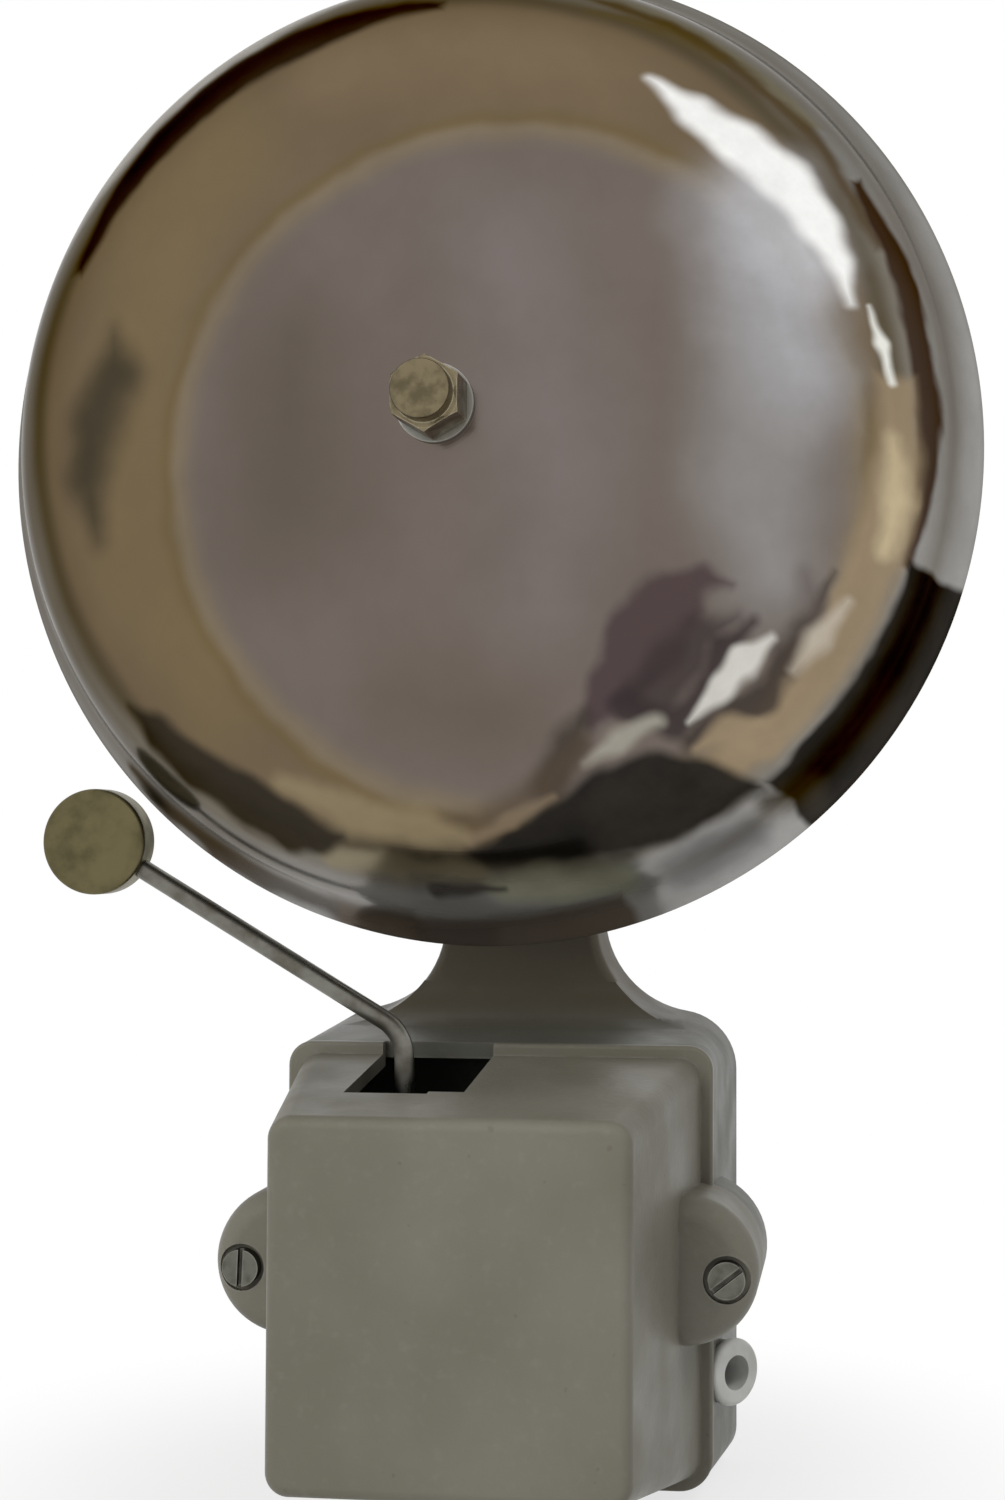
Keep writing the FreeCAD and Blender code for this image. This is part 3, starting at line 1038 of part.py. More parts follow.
def make_block_screws():
    """The two screws that hold arm and block to the casting."""
    grip = BLOCK_BACK_Y + SMALL_SCREW_BITE - ARM_FLANGE_Y
    screw = cheese_screw(SMALL_SCREW_RADIUS, SMALL_SCREW_HEAD_RADIUS, SMALL_SCREW_HEAD_HEIGHT, grip)
    return group([moved(screw, x, ARM_FLANGE_Y, z) for x, z in block_screw_spots()])


def make_contact_screw():
    """The adjusting screw with its silver point, set from above."""
    tip = TIP_TOP + CONTACT_GAP
    seat = ARM_TOP + LOCK_NUT_HEIGHT + CONTACT_GAP
    top = seat + CONTACT_HEAD_HEIGHT
    point = rod_z(CONTACT_POINT_RADIUS, tip, tip + CONTACT_POINT_LENGTH + LOOSE, CONTACT_X, CONTACT_Y)
    shank = rod_z(CONTACT_SCREW_RADIUS, tip + CONTACT_POINT_LENGTH, seat, CONTACT_X, CONTACT_Y)
    head = rod_z(CONTACT_HEAD_RADIUS, seat, top, CONTACT_X, CONTACT_Y)
    reach = CONTACT_HEAD_RADIUS + LOOSE
    slot = block(CONTACT_X - reach, CONTACT_X + reach, CONTACT_Y - SLOT_WIDTH / 2,
                 CONTACT_Y + SLOT_WIDTH / 2, top - CONTACT_HEAD_HEIGHT / 2, top + LOOSE)
    return fuse([point, shank, head]).cut(slot)


def make_lock_nut():
    """The nut that locks the contact screw."""
    nut = hex_bar(LOCK_NUT_FLATS, V(CONTACT_X, CONTACT_Y, ARM_TOP), V(0, 0, 1), LOCK_NUT_HEIGHT)
    return nut.cut(rod_z(CONTACT_SCREW_RADIUS + RUNNING_CLEARANCE, ARM_TOP - LOOSE,
                         ARM_TOP + LOCK_NUT_HEIGHT + LOOSE, CONTACT_X, CONTACT_Y))


# ================================================================ terminals
def make_terminal_block():
    """The moulded block for the two line terminals."""
    body = block(TERMINAL_X - TERMINAL_HALF_WIDTH, TERMINAL_X + TERMINAL_HALF_WIDTH, BLOCK_BACK_Y,
                 TERMINAL_FRONT_Y, TERMINAL_LOW, TERMINAL_HIGH)
    tapped_end = SADDLE_Y + TERMINAL_SCREW_GRIP + BLIND_END
    tools = [rod_y(TERMINAL_SCREW_RADIUS, TERMINAL_FRONT_Y - LOOSE, tapped_end, TERMINAL_X, z)
             for z in TERMINAL_HEIGHTS]
    tools.append(rod_y(SMALL_SCREW_RADIUS, BLOCK_BACK_Y + LOOSE, TERMINAL_FRONT_Y - LOOSE, TERMINAL_X,
                       TERMINAL_MID))
    return body.cut(fuse_tools(tools))


def make_terminal_saddles():
    """Two brass plates under the terminal screws."""
    saddles = []
    for z in TERMINAL_HEIGHTS:
        plate = block(TERMINAL_X - SADDLE_HALF_WIDTH, TERMINAL_X + SADDLE_HALF_WIDTH, TERMINAL_FRONT_Y,
                      SADDLE_Y, z - SADDLE_HEIGHT / 2, z + SADDLE_HEIGHT / 2)
        saddles.append(plate.cut(rod_y(TERMINAL_SCREW_RADIUS, TERMINAL_FRONT_Y + LOOSE, SADDLE_Y - LOOSE,
                                       TERMINAL_X, z)))
    return group(saddles)


def make_terminal_screws():
    """Two screws that clamp the line wires."""
    screw = cheese_screw(TERMINAL_SCREW_RADIUS, TERMINAL_SCREW_HEAD_RADIUS, TERMINAL_SCREW_HEAD_HEIGHT,
                         TERMINAL_SCREW_GRIP, TERMINAL_SCREW_TURN)
    return group([moved(screw, TERMINAL_X, SADDLE_Y, z) for z in TERMINAL_HEIGHTS])


def make_terminal_block_screw():
    """The screw that holds the terminal block to the casting."""
    grip = BLOCK_BACK_Y + SMALL_SCREW_BITE - TERMINAL_FRONT_Y
    screw = cheese_screw(SMALL_SCREW_RADIUS, SMALL_SCREW_HEAD_RADIUS, SMALL_SCREW_HEAD_HEIGHT, grip)
    return moved(screw, TERMINAL_X, TERMINAL_FRONT_Y, TERMINAL_MID)


# ================================================================ assembly
def build():
    """Every piece by name."""
    return {
        "rear_casting": make_rear_casting(),
        "front_cover": make_front_cover(),
        "cover_screws": make_cover_screws(),
        "cable_bush": make_cable_bush(),
        "gong": make_gong(),
        "gong_pillar": make_gong_pillar(),
        "gong_seat_washer": make_seat_washer(),
        "gong_nut_washer": make_washer(NUT_WASHER_RADIUS, CROWN_Y, NUT_WASHER_THICKNESS),
        "gong_nut": make_gong_nut(),
        "hammer_head": make_hammer_head(),
        "hammer_rod": make_hammer_rod(),
        "rod_clamp_screw": make_rod_clamp_screw(),
        "armature": make_armature(),
        "contact_leaf": make_contact_leaf(),
        "leaf_rivets": make_leaf_rivets(),
        "moving_contact": make_moving_contact(),
        "pivot_pin": make_pivot_pin(),
        "magnet_frame": make_magnet_frame(),
        "frame_screws": make_frame_screws(),
        "magnet_core_rear": make_core(REAR_COIL_Y),
        "magnet_core_front": make_core(FRONT_COIL_Y),
        "bobbin_rear": make_bobbin(REAR_COIL_Y),
        "bobbin_front": make_bobbin(FRONT_COIL_Y),
        "winding_rear": make_winding(REAR_COIL_Y),
        "winding_front": make_winding(FRONT_COIL_Y),
        "core_screws": make_core_screws(),
        "return_spring": make_return_spring(),
        "spring_anchor": make_spring_anchor(),
        "contact_block": make_contact_block(),
        "contact_arm": make_contact_arm(),
        "contact_block_screws": make_block_screws(),
        "contact_screw": make_contact_screw(),
        "contact_lock_nut": make_lock_nut(),
        "terminal_block": make_terminal_block(),
        "terminal_saddles": make_terminal_saddles(),
        "terminal_screws": make_terminal_screws(),
        "terminal_block_screw": make_terminal_block_screw(),
    }


def main():
    """Write one STEP file per piece."""
    os.makedirs("parts", exist_ok=True)
    for name, shape in build().items():
        solids = shape.Solids
        state = "ok" if shape.isValid() and solids else "BAD"
        print(f"{name:24s} {state:4s} {len(solids)} solid(s) {shape.Volume / 1000:9.3f} cm3")
        shape.exportStep(f"parts/{name}.step")


main()
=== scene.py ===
"""Looks of a trembler bell for a wall: polished gong, hammer, painted iron case and works.

Metres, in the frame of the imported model. +X is to the right of somebody who faces the bell,
+Z is up, the wall is the plane Y = 0 and the bell faces -Y.
"""

import json
import logging
import math
from dataclasses import dataclass
from enum import Enum
from typing import Protocol, Sequence, Union

import bmesh
import bpy
from mathutils import Matrix, Vector

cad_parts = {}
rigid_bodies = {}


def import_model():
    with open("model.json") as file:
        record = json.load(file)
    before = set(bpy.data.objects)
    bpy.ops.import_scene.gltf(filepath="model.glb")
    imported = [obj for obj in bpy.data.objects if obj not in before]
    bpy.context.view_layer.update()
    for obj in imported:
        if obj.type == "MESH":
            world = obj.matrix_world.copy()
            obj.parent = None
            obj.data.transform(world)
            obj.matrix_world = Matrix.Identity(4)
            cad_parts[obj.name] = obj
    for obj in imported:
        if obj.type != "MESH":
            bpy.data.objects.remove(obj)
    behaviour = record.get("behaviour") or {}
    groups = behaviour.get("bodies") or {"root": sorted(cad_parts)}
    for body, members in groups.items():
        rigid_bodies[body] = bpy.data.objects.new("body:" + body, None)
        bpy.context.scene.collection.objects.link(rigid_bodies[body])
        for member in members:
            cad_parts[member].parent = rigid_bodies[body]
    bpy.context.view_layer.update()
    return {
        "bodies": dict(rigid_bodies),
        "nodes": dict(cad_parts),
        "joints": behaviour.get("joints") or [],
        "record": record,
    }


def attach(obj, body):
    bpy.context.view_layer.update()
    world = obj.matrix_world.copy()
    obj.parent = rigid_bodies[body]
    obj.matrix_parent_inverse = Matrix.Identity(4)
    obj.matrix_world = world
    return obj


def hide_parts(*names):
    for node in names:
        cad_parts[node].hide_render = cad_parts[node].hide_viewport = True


LOG = logging.getLogger("bell")
MM = 0.001
WELD = 2e-6      # corners of a node's mesh nearer than this are one corner
SLIVER = 1e-6    # shorter edges are dropped, and nearer corners of the gong's seams are joined
JOINT = 3.0      # millimetres over which two runs of a streak flow into each other
WHITE = (1.0, 1.0, 1.0, 1.0)
Colour = tuple[float, float, float]
Point = tuple[float, float, float]
Feed = Union[bpy.types.NodeSocket, float, Colour]
Stop = tuple[float, Colour]


class Body(Enum):
    """The frame's bodies that new pieces ride on."""

    BELL = "bell"
    HAMMER = "hammer"


class Slot(Enum):
    """The record's material slots."""

    CASTING = "casting_paint"
    COVER = "cover_paint"
    GONG = "gong_plate"
    ZINC = "zinc_steel"
    STEEL = "bright_steel"
    BRASS = "brass"
    IRON = "soft_iron"


# ---------------------------------------------------------------- node building
class Recipe:
    """A material under construction: its Principled shader and what feeds it."""

    def __init__(self, name: str) -> None:
        """Starts an empty recipe.

        Args:
            name: name of the material.
        """
        self.material = bpy.data.materials.new(name)
        self.material.use_nodes = True
        self.tree = self.material.node_tree
        self.shader = self.tree.nodes["Principled BSDF"]

    def node(self, kind: str, **settings: object) -> bpy.types.Node:
        """Adds a node.

        Args:
            kind: the node's type without its ShaderNode prefix.
            settings: attributes to set on it.

        Returns:
            The node.
        """
        made = self.tree.nodes.new("ShaderNode" + kind)
        for key, value in settings.items():
            setattr(made, key, value)
        return made

    def feed(self, socket: bpy.types.NodeSocket, value: Feed) -> None:
        """Links a socket to another, or sets it to a plain value.

        Args:
            socket: the input.
            value: an output socket, a number or a colour.
        """
        if isinstance(value, bpy.types.NodeSocket):
            self.tree.links.new(value, socket)
        elif isinstance(value, tuple) and socket.type == "RGBA":
            socket.default_value = (*value, 1.0)
        else:
            socket.default_value = value

    def finish(self, **sockets: Feed) -> bpy.types.Material:
        """Feeds the shader's own sockets and gives the material.

        Args:
            sockets: values by socket name, with underscores for spaces.

        Returns:
            The finished material.
        """
        for key, value in sockets.items():
            self.feed(self.shader.inputs[key.replace("_", " ")], value)
        return self.material

    def place(self, centre: Point = (0, 0, 0), scale: Point = (1, 1, 1)) -> bpy.types.NodeSocket:
        """Object coordinates about a centre.

        Args:
            centre: the point that becomes the origin.
            scale: stretch of each axis, applied last.

        Returns:
            The coordinates.
        """
        here = self.node("TexCoord").outputs["Object"]
        return self.vector("MULTIPLY", self.vector("SUBTRACT", here, centre), scale)

    def split(self, at: bpy.types.NodeSocket) -> bpy.types.bpy_prop_collection:
        """The coordinates of a vector, by their letters.

        Args:
            at: the vector.

        Returns:
            The outputs X, Y and Z.
        """
        made = self.node("SeparateXYZ")
        self.feed(made.inputs[0], at)
        return made.outputs

    def noise(self, at: bpy.types.NodeSocket, size: float, detail: float = 3.0,
              rough: float = 0.5) -> bpy.types.NodeSocket:
        """Noise whose features are about as large as size.

        Args:
            at: coordinates.
            size: feature size in metres.
            detail: octaves.
            rough: weight of the finer octaves.

        Returns:
            A value around one half.
        """
        made = self.node("TexNoise")
        self.feed(made.inputs["Vector"], at)
        made.inputs["Scale"].default_value = 1.0 / size
        made.inputs["Detail"].default_value = detail
        made.inputs["Roughness"].default_value = rough
        return made.outputs["Fac"]

    def calc(self, operation: str, a: Feed, b: Feed = 0.5, c: Feed = 0.0) -> bpy.types.NodeSocket:
        """One arithmetic step.

        Args:
            operation: a Math node's operation.
            a: first operand.
            b: second operand.
            c: third operand, for the operations that take one.

        Returns:
            The result.
        """
        made = self.node("Math", operation=operation)
        for socket, value in zip(made.inputs, (a, b, c)):
            self.feed(socket, value)
        return made.outputs[0]

    def vector(self, operation: str, a: Feed, b: Feed = 0.0) -> bpy.types.NodeSocket:
        """One step of vector arithmetic.

        Args:
            operation: a Vector Math node's operation.
            a: first operand.
            b: second operand: a vector, or the factor of a SCALE.

        Returns:
            The result: a number for DOT_PRODUCT and LENGTH, else a vector.
        """
        made = self.node("VectorMath", operation=operation)
        self.feed(made.inputs[0], a)
        if operation == "SCALE":
            self.feed(made.inputs["Scale"], b)
        elif operation != "LENGTH":
            self.feed(made.inputs[1], b)
        return made.outputs["Value" if operation in ("DOT_PRODUCT", "LENGTH") else "Vector"]

    def window(self, value: bpy.types.NodeSocket, low: float, high: float,
               to_low: float = 0.0, to_high: float = 1.0) -> bpy.types.NodeSocket:
        """A smooth step.

        Args:
            value: what is tested.
            low: value that gives to_low.
            high: value that gives to_high.
            to_low: result below.
            to_high: result above.

        Returns:
            The step.
        """
        made = self.node("MapRange", interpolation_type="SMOOTHSTEP", clamp=False)
        self.feed(made.inputs["Value"], value)
        made.inputs["From Min"].default_value = low
        made.inputs["From Max"].default_value = high
        made.inputs["To Min"].default_value = to_low
        made.inputs["To Max"].default_value = to_high
        return made.outputs["Result"]

    def ramp(self, value: bpy.types.NodeSocket, stops: Sequence[Stop]) -> bpy.types.NodeSocket:
        """A colour ramp.

        Args:
            value: position on the ramp.
            stops: positions and colours, in order.

        Returns:
            The colour.
        """
        made = self.node("ValToRGB")
        made.color_ramp.interpolation = "EASE"
        elements = made.color_ramp.elements
        while len(elements) < len(stops):
            elements.new(1.0)
        for element, (position, colour) in zip(elements, stops):
            element.position = position
            element.color = (*colour, 1.0)
        self.feed(made.inputs["Fac"], value)
        return made.outputs["Color"]

    def mix(self, share: Feed, a: Feed, b: Feed, mode: str = "MIX") -> bpy.types.NodeSocket:
        """Mixes two colours.

        Args:
            share: how much of b.
            a: first colour.
            b: second colour.
            mode: blend type.

        Returns:
            The mixed colour.
        """
        made = self.node("Mix", data_type="RGBA", blend_type=mode)
        self.feed(made.inputs[0], share)
        self.feed(made.inputs[6], a)
        self.feed(made.inputs[7], b)
        return made.outputs[2]

    def edges(self, width: float) -> bpy.types.NodeSocket:
        """Where the surface turns sharply within a width.

        Args:
            width: radius of the test.

        Returns:
            Near 1 at edges, 0 on flats.
        """
        bevel = self.node("Bevel", samples=4)
        bevel.inputs["Radius"].default_value = width
        surface = self.node("NewGeometry").outputs["Normal"]
        return self.window(self.vector("DOT_PRODUCT", bevel.outputs["Normal"], surface), 0.985, 0.86)

    def crevices(self, reach: float) -> bpy.types.NodeSocket:
        """Where neighbouring surfaces shade a point.

        Args:
            reach: how far they are looked for.

        Returns:
            Near 1 in corners, 0 in the open.
        """
        shade = self.node("AmbientOcclusion", samples=4)
        shade.inputs["Distance"].default_value = reach
        return self.window(shade.outputs["AO"], 0.85, 0.35)

    def bump(self, height: bpy.types.NodeSocket, depth: float, strength: float = 1.0,
             under: Union[bpy.types.NodeSocket, None] = None) -> bpy.types.NodeSocket:
        """A bump of a real depth.

        Args:
            height: height from 0 to 1.
            depth: what a height of 1 means, in metres.
            strength: strength of the effect.
            under: a bump that this one adds to.

        Returns:
            The normal.
        """
        made = self.node("Bump")
        self.feed(made.inputs["Height"], height)
        made.inputs["Distance"].default_value = depth
        made.inputs["Strength"].default_value = strength
        if under is not None:
            self.feed(made.inputs["Normal"], under)
        return made.outputs["Normal"]


def tint(red: int, green: int, blue: int) -> Colour:
    """A colour from the numbers that a display shows it with.

    Args:
        red: red, to 255.
        green: green, to 255.
        blue: blue, to 255.

    Returns:
        The colour as light.
    """
    shares = (channel / 255 for channel in (red, green, blue))
    return tuple(c / 12.92 if c <= 0.04045 else ((c + 0.055) / 1.055) ** 2.4 for c in shares)


class Finish(Protocol):
    """Anything that can give a material."""

    def material(self) -> bpy.types.Material:
        """The material of this finish."""


# ---------------------------------------------------------------- finishes
@dataclass(frozen=True)
class CastEnamel:
    """Brushed enamel over sand-cast iron."""

    name: str
    tone: Colour
    shade: Colour
    light: Colour
    # grime_and_shade colours grime specks, the corners darkened as grime and painted shade, and the painted
    # shadow of the gong
    grime_and_shade: Colour = (0.062, 0.050, 0.033)
    corner_grime_and_shade_share: float = 0.28
    gloss: float = 0.42
    cloud_size: float = 0.045
    fleck_size: float = 0.0022
    run_size: float = 0.011
    run_stretch: float = 0.22
    swell_depth: float = 0.00045
    grain_size: float = 0.0014
    grain_depth: float = 0.00010
    gong_shadow_above: float = 1.0
    gong_shadow_waver: float = 0.016
    gong_shadow_fade: float = 0.014
    gong_shadow_share: float = 0.62

    def material(self) -> bpy.types.Material:
        """Mottled paint over a sandy grain: lighter on edges as worn paint and painted highlight, darker in
        corners as grime and painted shade, and darker above a height as painted shadow of the gong.

        Returns:
            The material.
        """
        r = Recipe(self.name)
        at = r.place()
        cloud = r.noise(at, self.cloud_size, 4.0)
        fleck = r.noise(at, self.fleck_size, 2.0)
        colour = r.mix(r.window(cloud, 0.36, 0.66), self.shade, self.tone)
        colour = r.mix(r.window(fleck, 0.55, 0.80, 0.0, 0.10), colour, self.light)
        runs = r.noise(r.place(scale=(1.0, 1.0, self.run_stretch)), self.run_size, 3.0)
        colour = r.mix(r.window(runs, 0.50, 0.75, 0.0, 0.25), colour, self.shade)
        # Darker in corners where neighbouring surfaces shade the paint: grime and painted shade
        corner = r.calc("MULTIPLY", r.crevices(0.006), r.window(cloud, 0.25, 0.60, 0.5, 1.0))
        colour = r.mix(r.calc("MULTIPLY", corner, self.corner_grime_and_shade_share), colour, self.grime_and_shade)
        # Lighter on edges: paint rubbed thin and painted highlight
        worn_edge_and_highlight = r.calc("MULTIPLY", r.edges(0.0009), r.window(r.noise(at, 0.006), 0.35, 0.60))
        colour = r.mix(r.calc("MULTIPLY", worn_edge_and_highlight, 0.40), colour, self.light)
        speck = r.window(r.noise(at, 0.0030, 1.0), 0.755, 0.785)
        colour = r.mix(r.calc("MULTIPLY", speck, 0.22), colour, self.grime_and_shade)
        # Painted shadow: the paint darkens above a height, where the gong shades the neck and the top of
        # the casting
        height = r.calc("ADD", r.split(at)["Z"], r.calc("MULTIPLY", cloud, self.gong_shadow_waver))
        painted_dark = r.window(height, self.gong_shadow_above, self.gong_shadow_above + self.gong_shadow_fade, 0.0, self.gong_shadow_share)
        colour = r.mix(painted_dark, colour, self.grime_and_shade)
        rough = r.window(r.noise(at, 0.018, 4.0), 0.30, 0.70, self.gloss - 0.07, self.gloss + 0.10)
        swell = r.bump(r.noise(at, 0.014, 2.0), self.swell_depth, 0.5)
        sand = r.bump(r.noise(at, self.grain_size, 3.0, 0.6), self.grain_depth, 0.8, swell)
        return r.finish(Base_Color=colour, Roughness=rough, Normal=sand, Specular_IOR_Level=0.24)


@dataclass(frozen=True)
class Streak:
    """A painted mark on the gong, in millimetres from its axis.

    Most marks are painted reflections of a room and painted highlights, and some are stains; all stay where
    they are. It follows a chain of points, each given as x, z and the half width there.
    """

    chain: tuple[tuple[float, float, float], ...]
    colour: Colour
    share: float = 0.92
    soft: float = 1.3
    ragged: float = 1.2

    def distance(self, r: Recipe, here: bpy.types.NodeSocket) -> bpy.types.NodeSocket:
        """How far a point is outside the streak, below zero within it.

        Args:
            r: the recipe.
            here: the point.

        Returns:
            The distance.
        """
        nearest = None
        for first, second in zip(self.chain, self.chain[1:] or self.chain):
            run = Vector((second[0] - first[0], 0.0, second[1] - first[1]))
            away = r.vector("SUBTRACT", here, (first[0], 0.0, first[1]))
            part = r.vector("DOT_PRODUCT", away, tuple(run / max(run.length_squared, 1.0)))
            held = r.calc("MINIMUM", r.calc("MAXIMUM", part, 0.0), 1.0)
            foot = r.vector("SCALE", tuple(run), held)
            gap = r.vector("LENGTH", r.vector("SUBTRACT", away, foot))
            width = r.calc("MULTIPLY_ADD", held, second[2] - first[2], first[2])
            outside = r.calc("SUBTRACT", gap, width)
            nearest = outside if nearest is None else r.calc("SMOOTH_MIN", nearest, outside, JOINT)
        return nearest


@dataclass(frozen=True)
class Arc:
    """A mark like a streak that follows the gong's rim. Millimetres and degrees."""

    radius: float
    half_width: float
    start: float
    end: float
    colour: Colour
    share: float = 0.92
    soft: float = 1.3
    ragged: float = 1.0
    taper: float = 0.0

    def distance(self, r: Recipe, here: bpy.types.NodeSocket) -> bpy.types.NodeSocket:
        """How far a point is outside the arc, below zero within it.

        Args:
            r: the recipe.
            here: the point.

        Returns:
            The distance.
        """
        half_angle = math.radians((self.end - self.start) / 2)
        turned = r.node("Mapping")
        r.feed(turned.inputs["Vector"], here)
        turned.inputs["Rotation"].default_value = (0.0, math.radians((self.start + self.end) / 2), 0.0)
        split = r.split(turned.outputs["Vector"])
        around = r.calc("ABSOLUTE", r.calc("ARCTAN2", split["Z"], split["X"]))
        off = r.calc("ABSOLUTE", r.calc("SUBTRACT", r.vector("LENGTH", here), self.radius))
        narrow = r.calc("MULTIPLY", r.calc("POWER", r.calc("DIVIDE", around, half_angle), 2.0),
                        self.taper * self.half_width)
        across = r.calc("SUBTRACT", r.calc("ADD", off, narrow), self.half_width)
        along = r.calc("MULTIPLY", r.calc("SUBTRACT", around, half_angle), self.radius)
        return r.calc("MAXIMUM", across, along)


@dataclass(frozen=True)
class BellPlate:
    """Nickel plate on spun steel with some tarnish, toned in rings and marks that are mostly painted
    reflections and painted highlights, dull on the inside.

    The axis is a point in metres, the radius is in millimetres.
    """

    name: str
    axis: Point
    radius: float
    rings: tuple[Stop, ...]
    marks: tuple[Union[Streak, Arc], ...]
    inside: Colour = (0.120, 0.104, 0.088)
    inside_stain: Colour = (0.055, 0.044, 0.034)
    drift_scale: float = 70.0
    drift_reach: float = 3.4
    ring_waver: float = 5.0
    fraying: float = 3.0
    groove_scale: float = 420.0
    groove_depth: float = 0.0000045
    planish_depth: float = 0.00030
    dust_top: float = -78.0
    dust_full: float = -92.0
    sheen: Colour = (0.38, 0.36, 0.33)

    def material(self) -> bpy.types.Material:
        """Plate whose tone follows the distance from the axis as painted reflection, with painted
        reflections, painted highlights, tarnish and spinning marks.

        Returns:
            The material.
        """
        r = Recipe(self.name)
        at = r.place(self.axis)
        flat = r.place(self.axis, scale=(1.0 / MM, 0.0, 1.0 / MM))
        drift = r.node("TexNoise")
        r.feed(drift.inputs["Vector"], at)
        drift.inputs["Scale"].default_value = self.drift_scale
        drift.inputs["Detail"].default_value = 2.0
        swing = r.vector("MULTIPLY", r.vector("SUBTRACT", drift.outputs["Color"], (0.5, 0.5, 0.5)),
                         (self.drift_reach, 0.0, self.drift_reach))
        here = r.vector("ADD", flat, swing)
        wander = r.calc("MULTIPLY", r.calc("SUBTRACT", r.noise(at, 0.055, 3.0), 0.5), self.ring_waver)
        radius = r.calc("ADD", r.vector("LENGTH", flat), wander)
        # Tone by distance from the axis: painted reflection of a room, partly tarnish
        colour = r.ramp(r.calc("DIVIDE", radius, self.radius), self.rings)
        frayed = r.calc("SUBTRACT", r.noise(at, 0.011, 3.0, 0.5), 0.5)
        # Marks painted over the rings: mostly painted reflections and painted highlights, some stains
        for mark in self.marks:
            fray = r.calc("MULTIPLY", frayed, self.fraying * mark.ragged)
            edge = r.calc("ADD", mark.distance(r, here), fray)
            share = r.window(edge, mark.soft, -mark.soft, 0.0, mark.share)
            colour = r.mix(share, colour, mark.colour)
        mottle = r.noise(at, 0.016, 5.0, 0.6)
        colour = r.mix(r.window(mottle, 0.30, 0.72, 0.0, 0.16), colour, tint(84, 74, 62))
        brushed = r.noise(at, 0.0016, 2.0)
        rough = r.window(r.noise(at, 0.030, 4.0), 0.30, 0.70, 0.14, 0.22)
        rough = r.calc("ADD", rough, r.calc("MULTIPLY", r.calc("SUBTRACT", brushed, 0.5), 0.06))
        groove = r.node("TexWave", wave_type="RINGS", rings_direction="Y", wave_profile="SIN")
        r.feed(groove.inputs["Vector"], at)
        groove.inputs["Scale"].default_value = self.groove_scale
        groove.inputs["Distortion"].default_value = 1.5
        groove.inputs["Detail"].default_value = 2.0
        turning = r.bump(groove.outputs["Fac"], self.groove_depth, 0.25)
        planish = r.bump(r.noise(at, 0.036, 1.0), self.planish_depth, 0.22, turning)
        dusty = r.window(r.split(here)["Z"], self.dust_top, self.dust_full, 1.0, 0.50)
        facing = r.split(r.node("TexCoord").outputs["Normal"])
        inner = r.window(facing["Y"], -0.08, 0.08)
        lining = r.mix(r.window(mottle, 0.35, 0.65), self.inside, self.inside_stain)
        colour = r.mix(inner, colour, lining)
        rough = r.calc("ADD", rough, r.calc("MULTIPLY", inner, 0.16))
        return r.finish(Base_Color=colour, Metallic=dusty, Roughness=rough, Normal=planish,
                        Specular_Tint=self.sheen)


@dataclass(frozen=True)
class Metal:
    """Bare or plated metal with stains, fine scratches and rubbed edges."""

    name: str
    tone: Colour
    stain: Colour
    edge: Colour
    roughness: float = 0.30
    stain_size: float = 0.008
    stain_share: float = 0.45
    grain: float = 0.0008
    grain_depth: float = 0.000020
    edge_width: float = 0.0005

    def material(self) -> bpy.types.Material:
        """Stained metal with a grain and bright edges.

        Returns:
            The material.
        """
        r = Recipe(self.name)
        at = r.place()
        stain = r.noise(at, self.stain_size, 4.0, 0.6)
        share = r.window(stain, 0.42, 0.70, 0.0, self.stain_share)
        colour = r.mix(share, self.tone, self.stain)
        # Darker in corners where neighbouring surfaces shade the metal: dirt and painted shade
        corner_dirt_and_shade = r.calc("MULTIPLY", r.crevices(0.0022), 0.55)
        colour = r.mix(corner_dirt_and_shade, colour, tuple(0.35 * c for c in self.stain))
        colour = r.mix(r.calc("MULTIPLY", r.edges(self.edge_width), 0.6), colour, self.edge)
        rough = r.window(stain, 0.35, 0.70, self.roughness - 0.05, self.roughness + 0.14)
        streak = r.noise(at, self.grain, 3.0)
        normal = r.bump(streak, self.grain_depth, 0.6)
        return r.finish(Base_Color=colour, Metallic=1.0, Roughness=rough, Normal=normal)


@dataclass(frozen=True)
class Moulding:
    """Moulded plastic, resin board or fibre."""

    name: str
    tone: Colour
    shade: Colour
    dust: Colour = (0.30, 0.28, 0.24)
    roughness: float = 0.45
    grain: float = 0.0012
    grain_depth: float = 0.000030

    def material(self) -> bpy.types.Material:
        """Mottled moulding, darker in its corners as painted shade, with dust on its edges.

        Returns:
            The material.
        """
        r = Recipe(self.name)
        at = r.place()
        cloud = r.noise(at, 0.009, 4.0)
        colour = r.mix(r.window(cloud, 0.35, 0.68), self.tone, self.shade)
        # Painted shade: darker in corners where neighbouring surfaces shade the moulding
        colour = r.mix(r.calc("MULTIPLY", r.crevices(0.003), 0.45), colour,
                       tuple(0.5 * c for c in self.shade))
        colour = r.mix(r.calc("MULTIPLY", r.edges(0.0006), 0.35), colour, self.dust)
        rough = r.window(cloud, 0.30, 0.70, self.roughness - 0.06, self.roughness + 0.10)
        normal = r.bump(r.noise(at, self.grain, 3.0), self.grain_depth, 0.7)
        return r.finish(Base_Color=colour, Roughness=rough, Normal=normal)


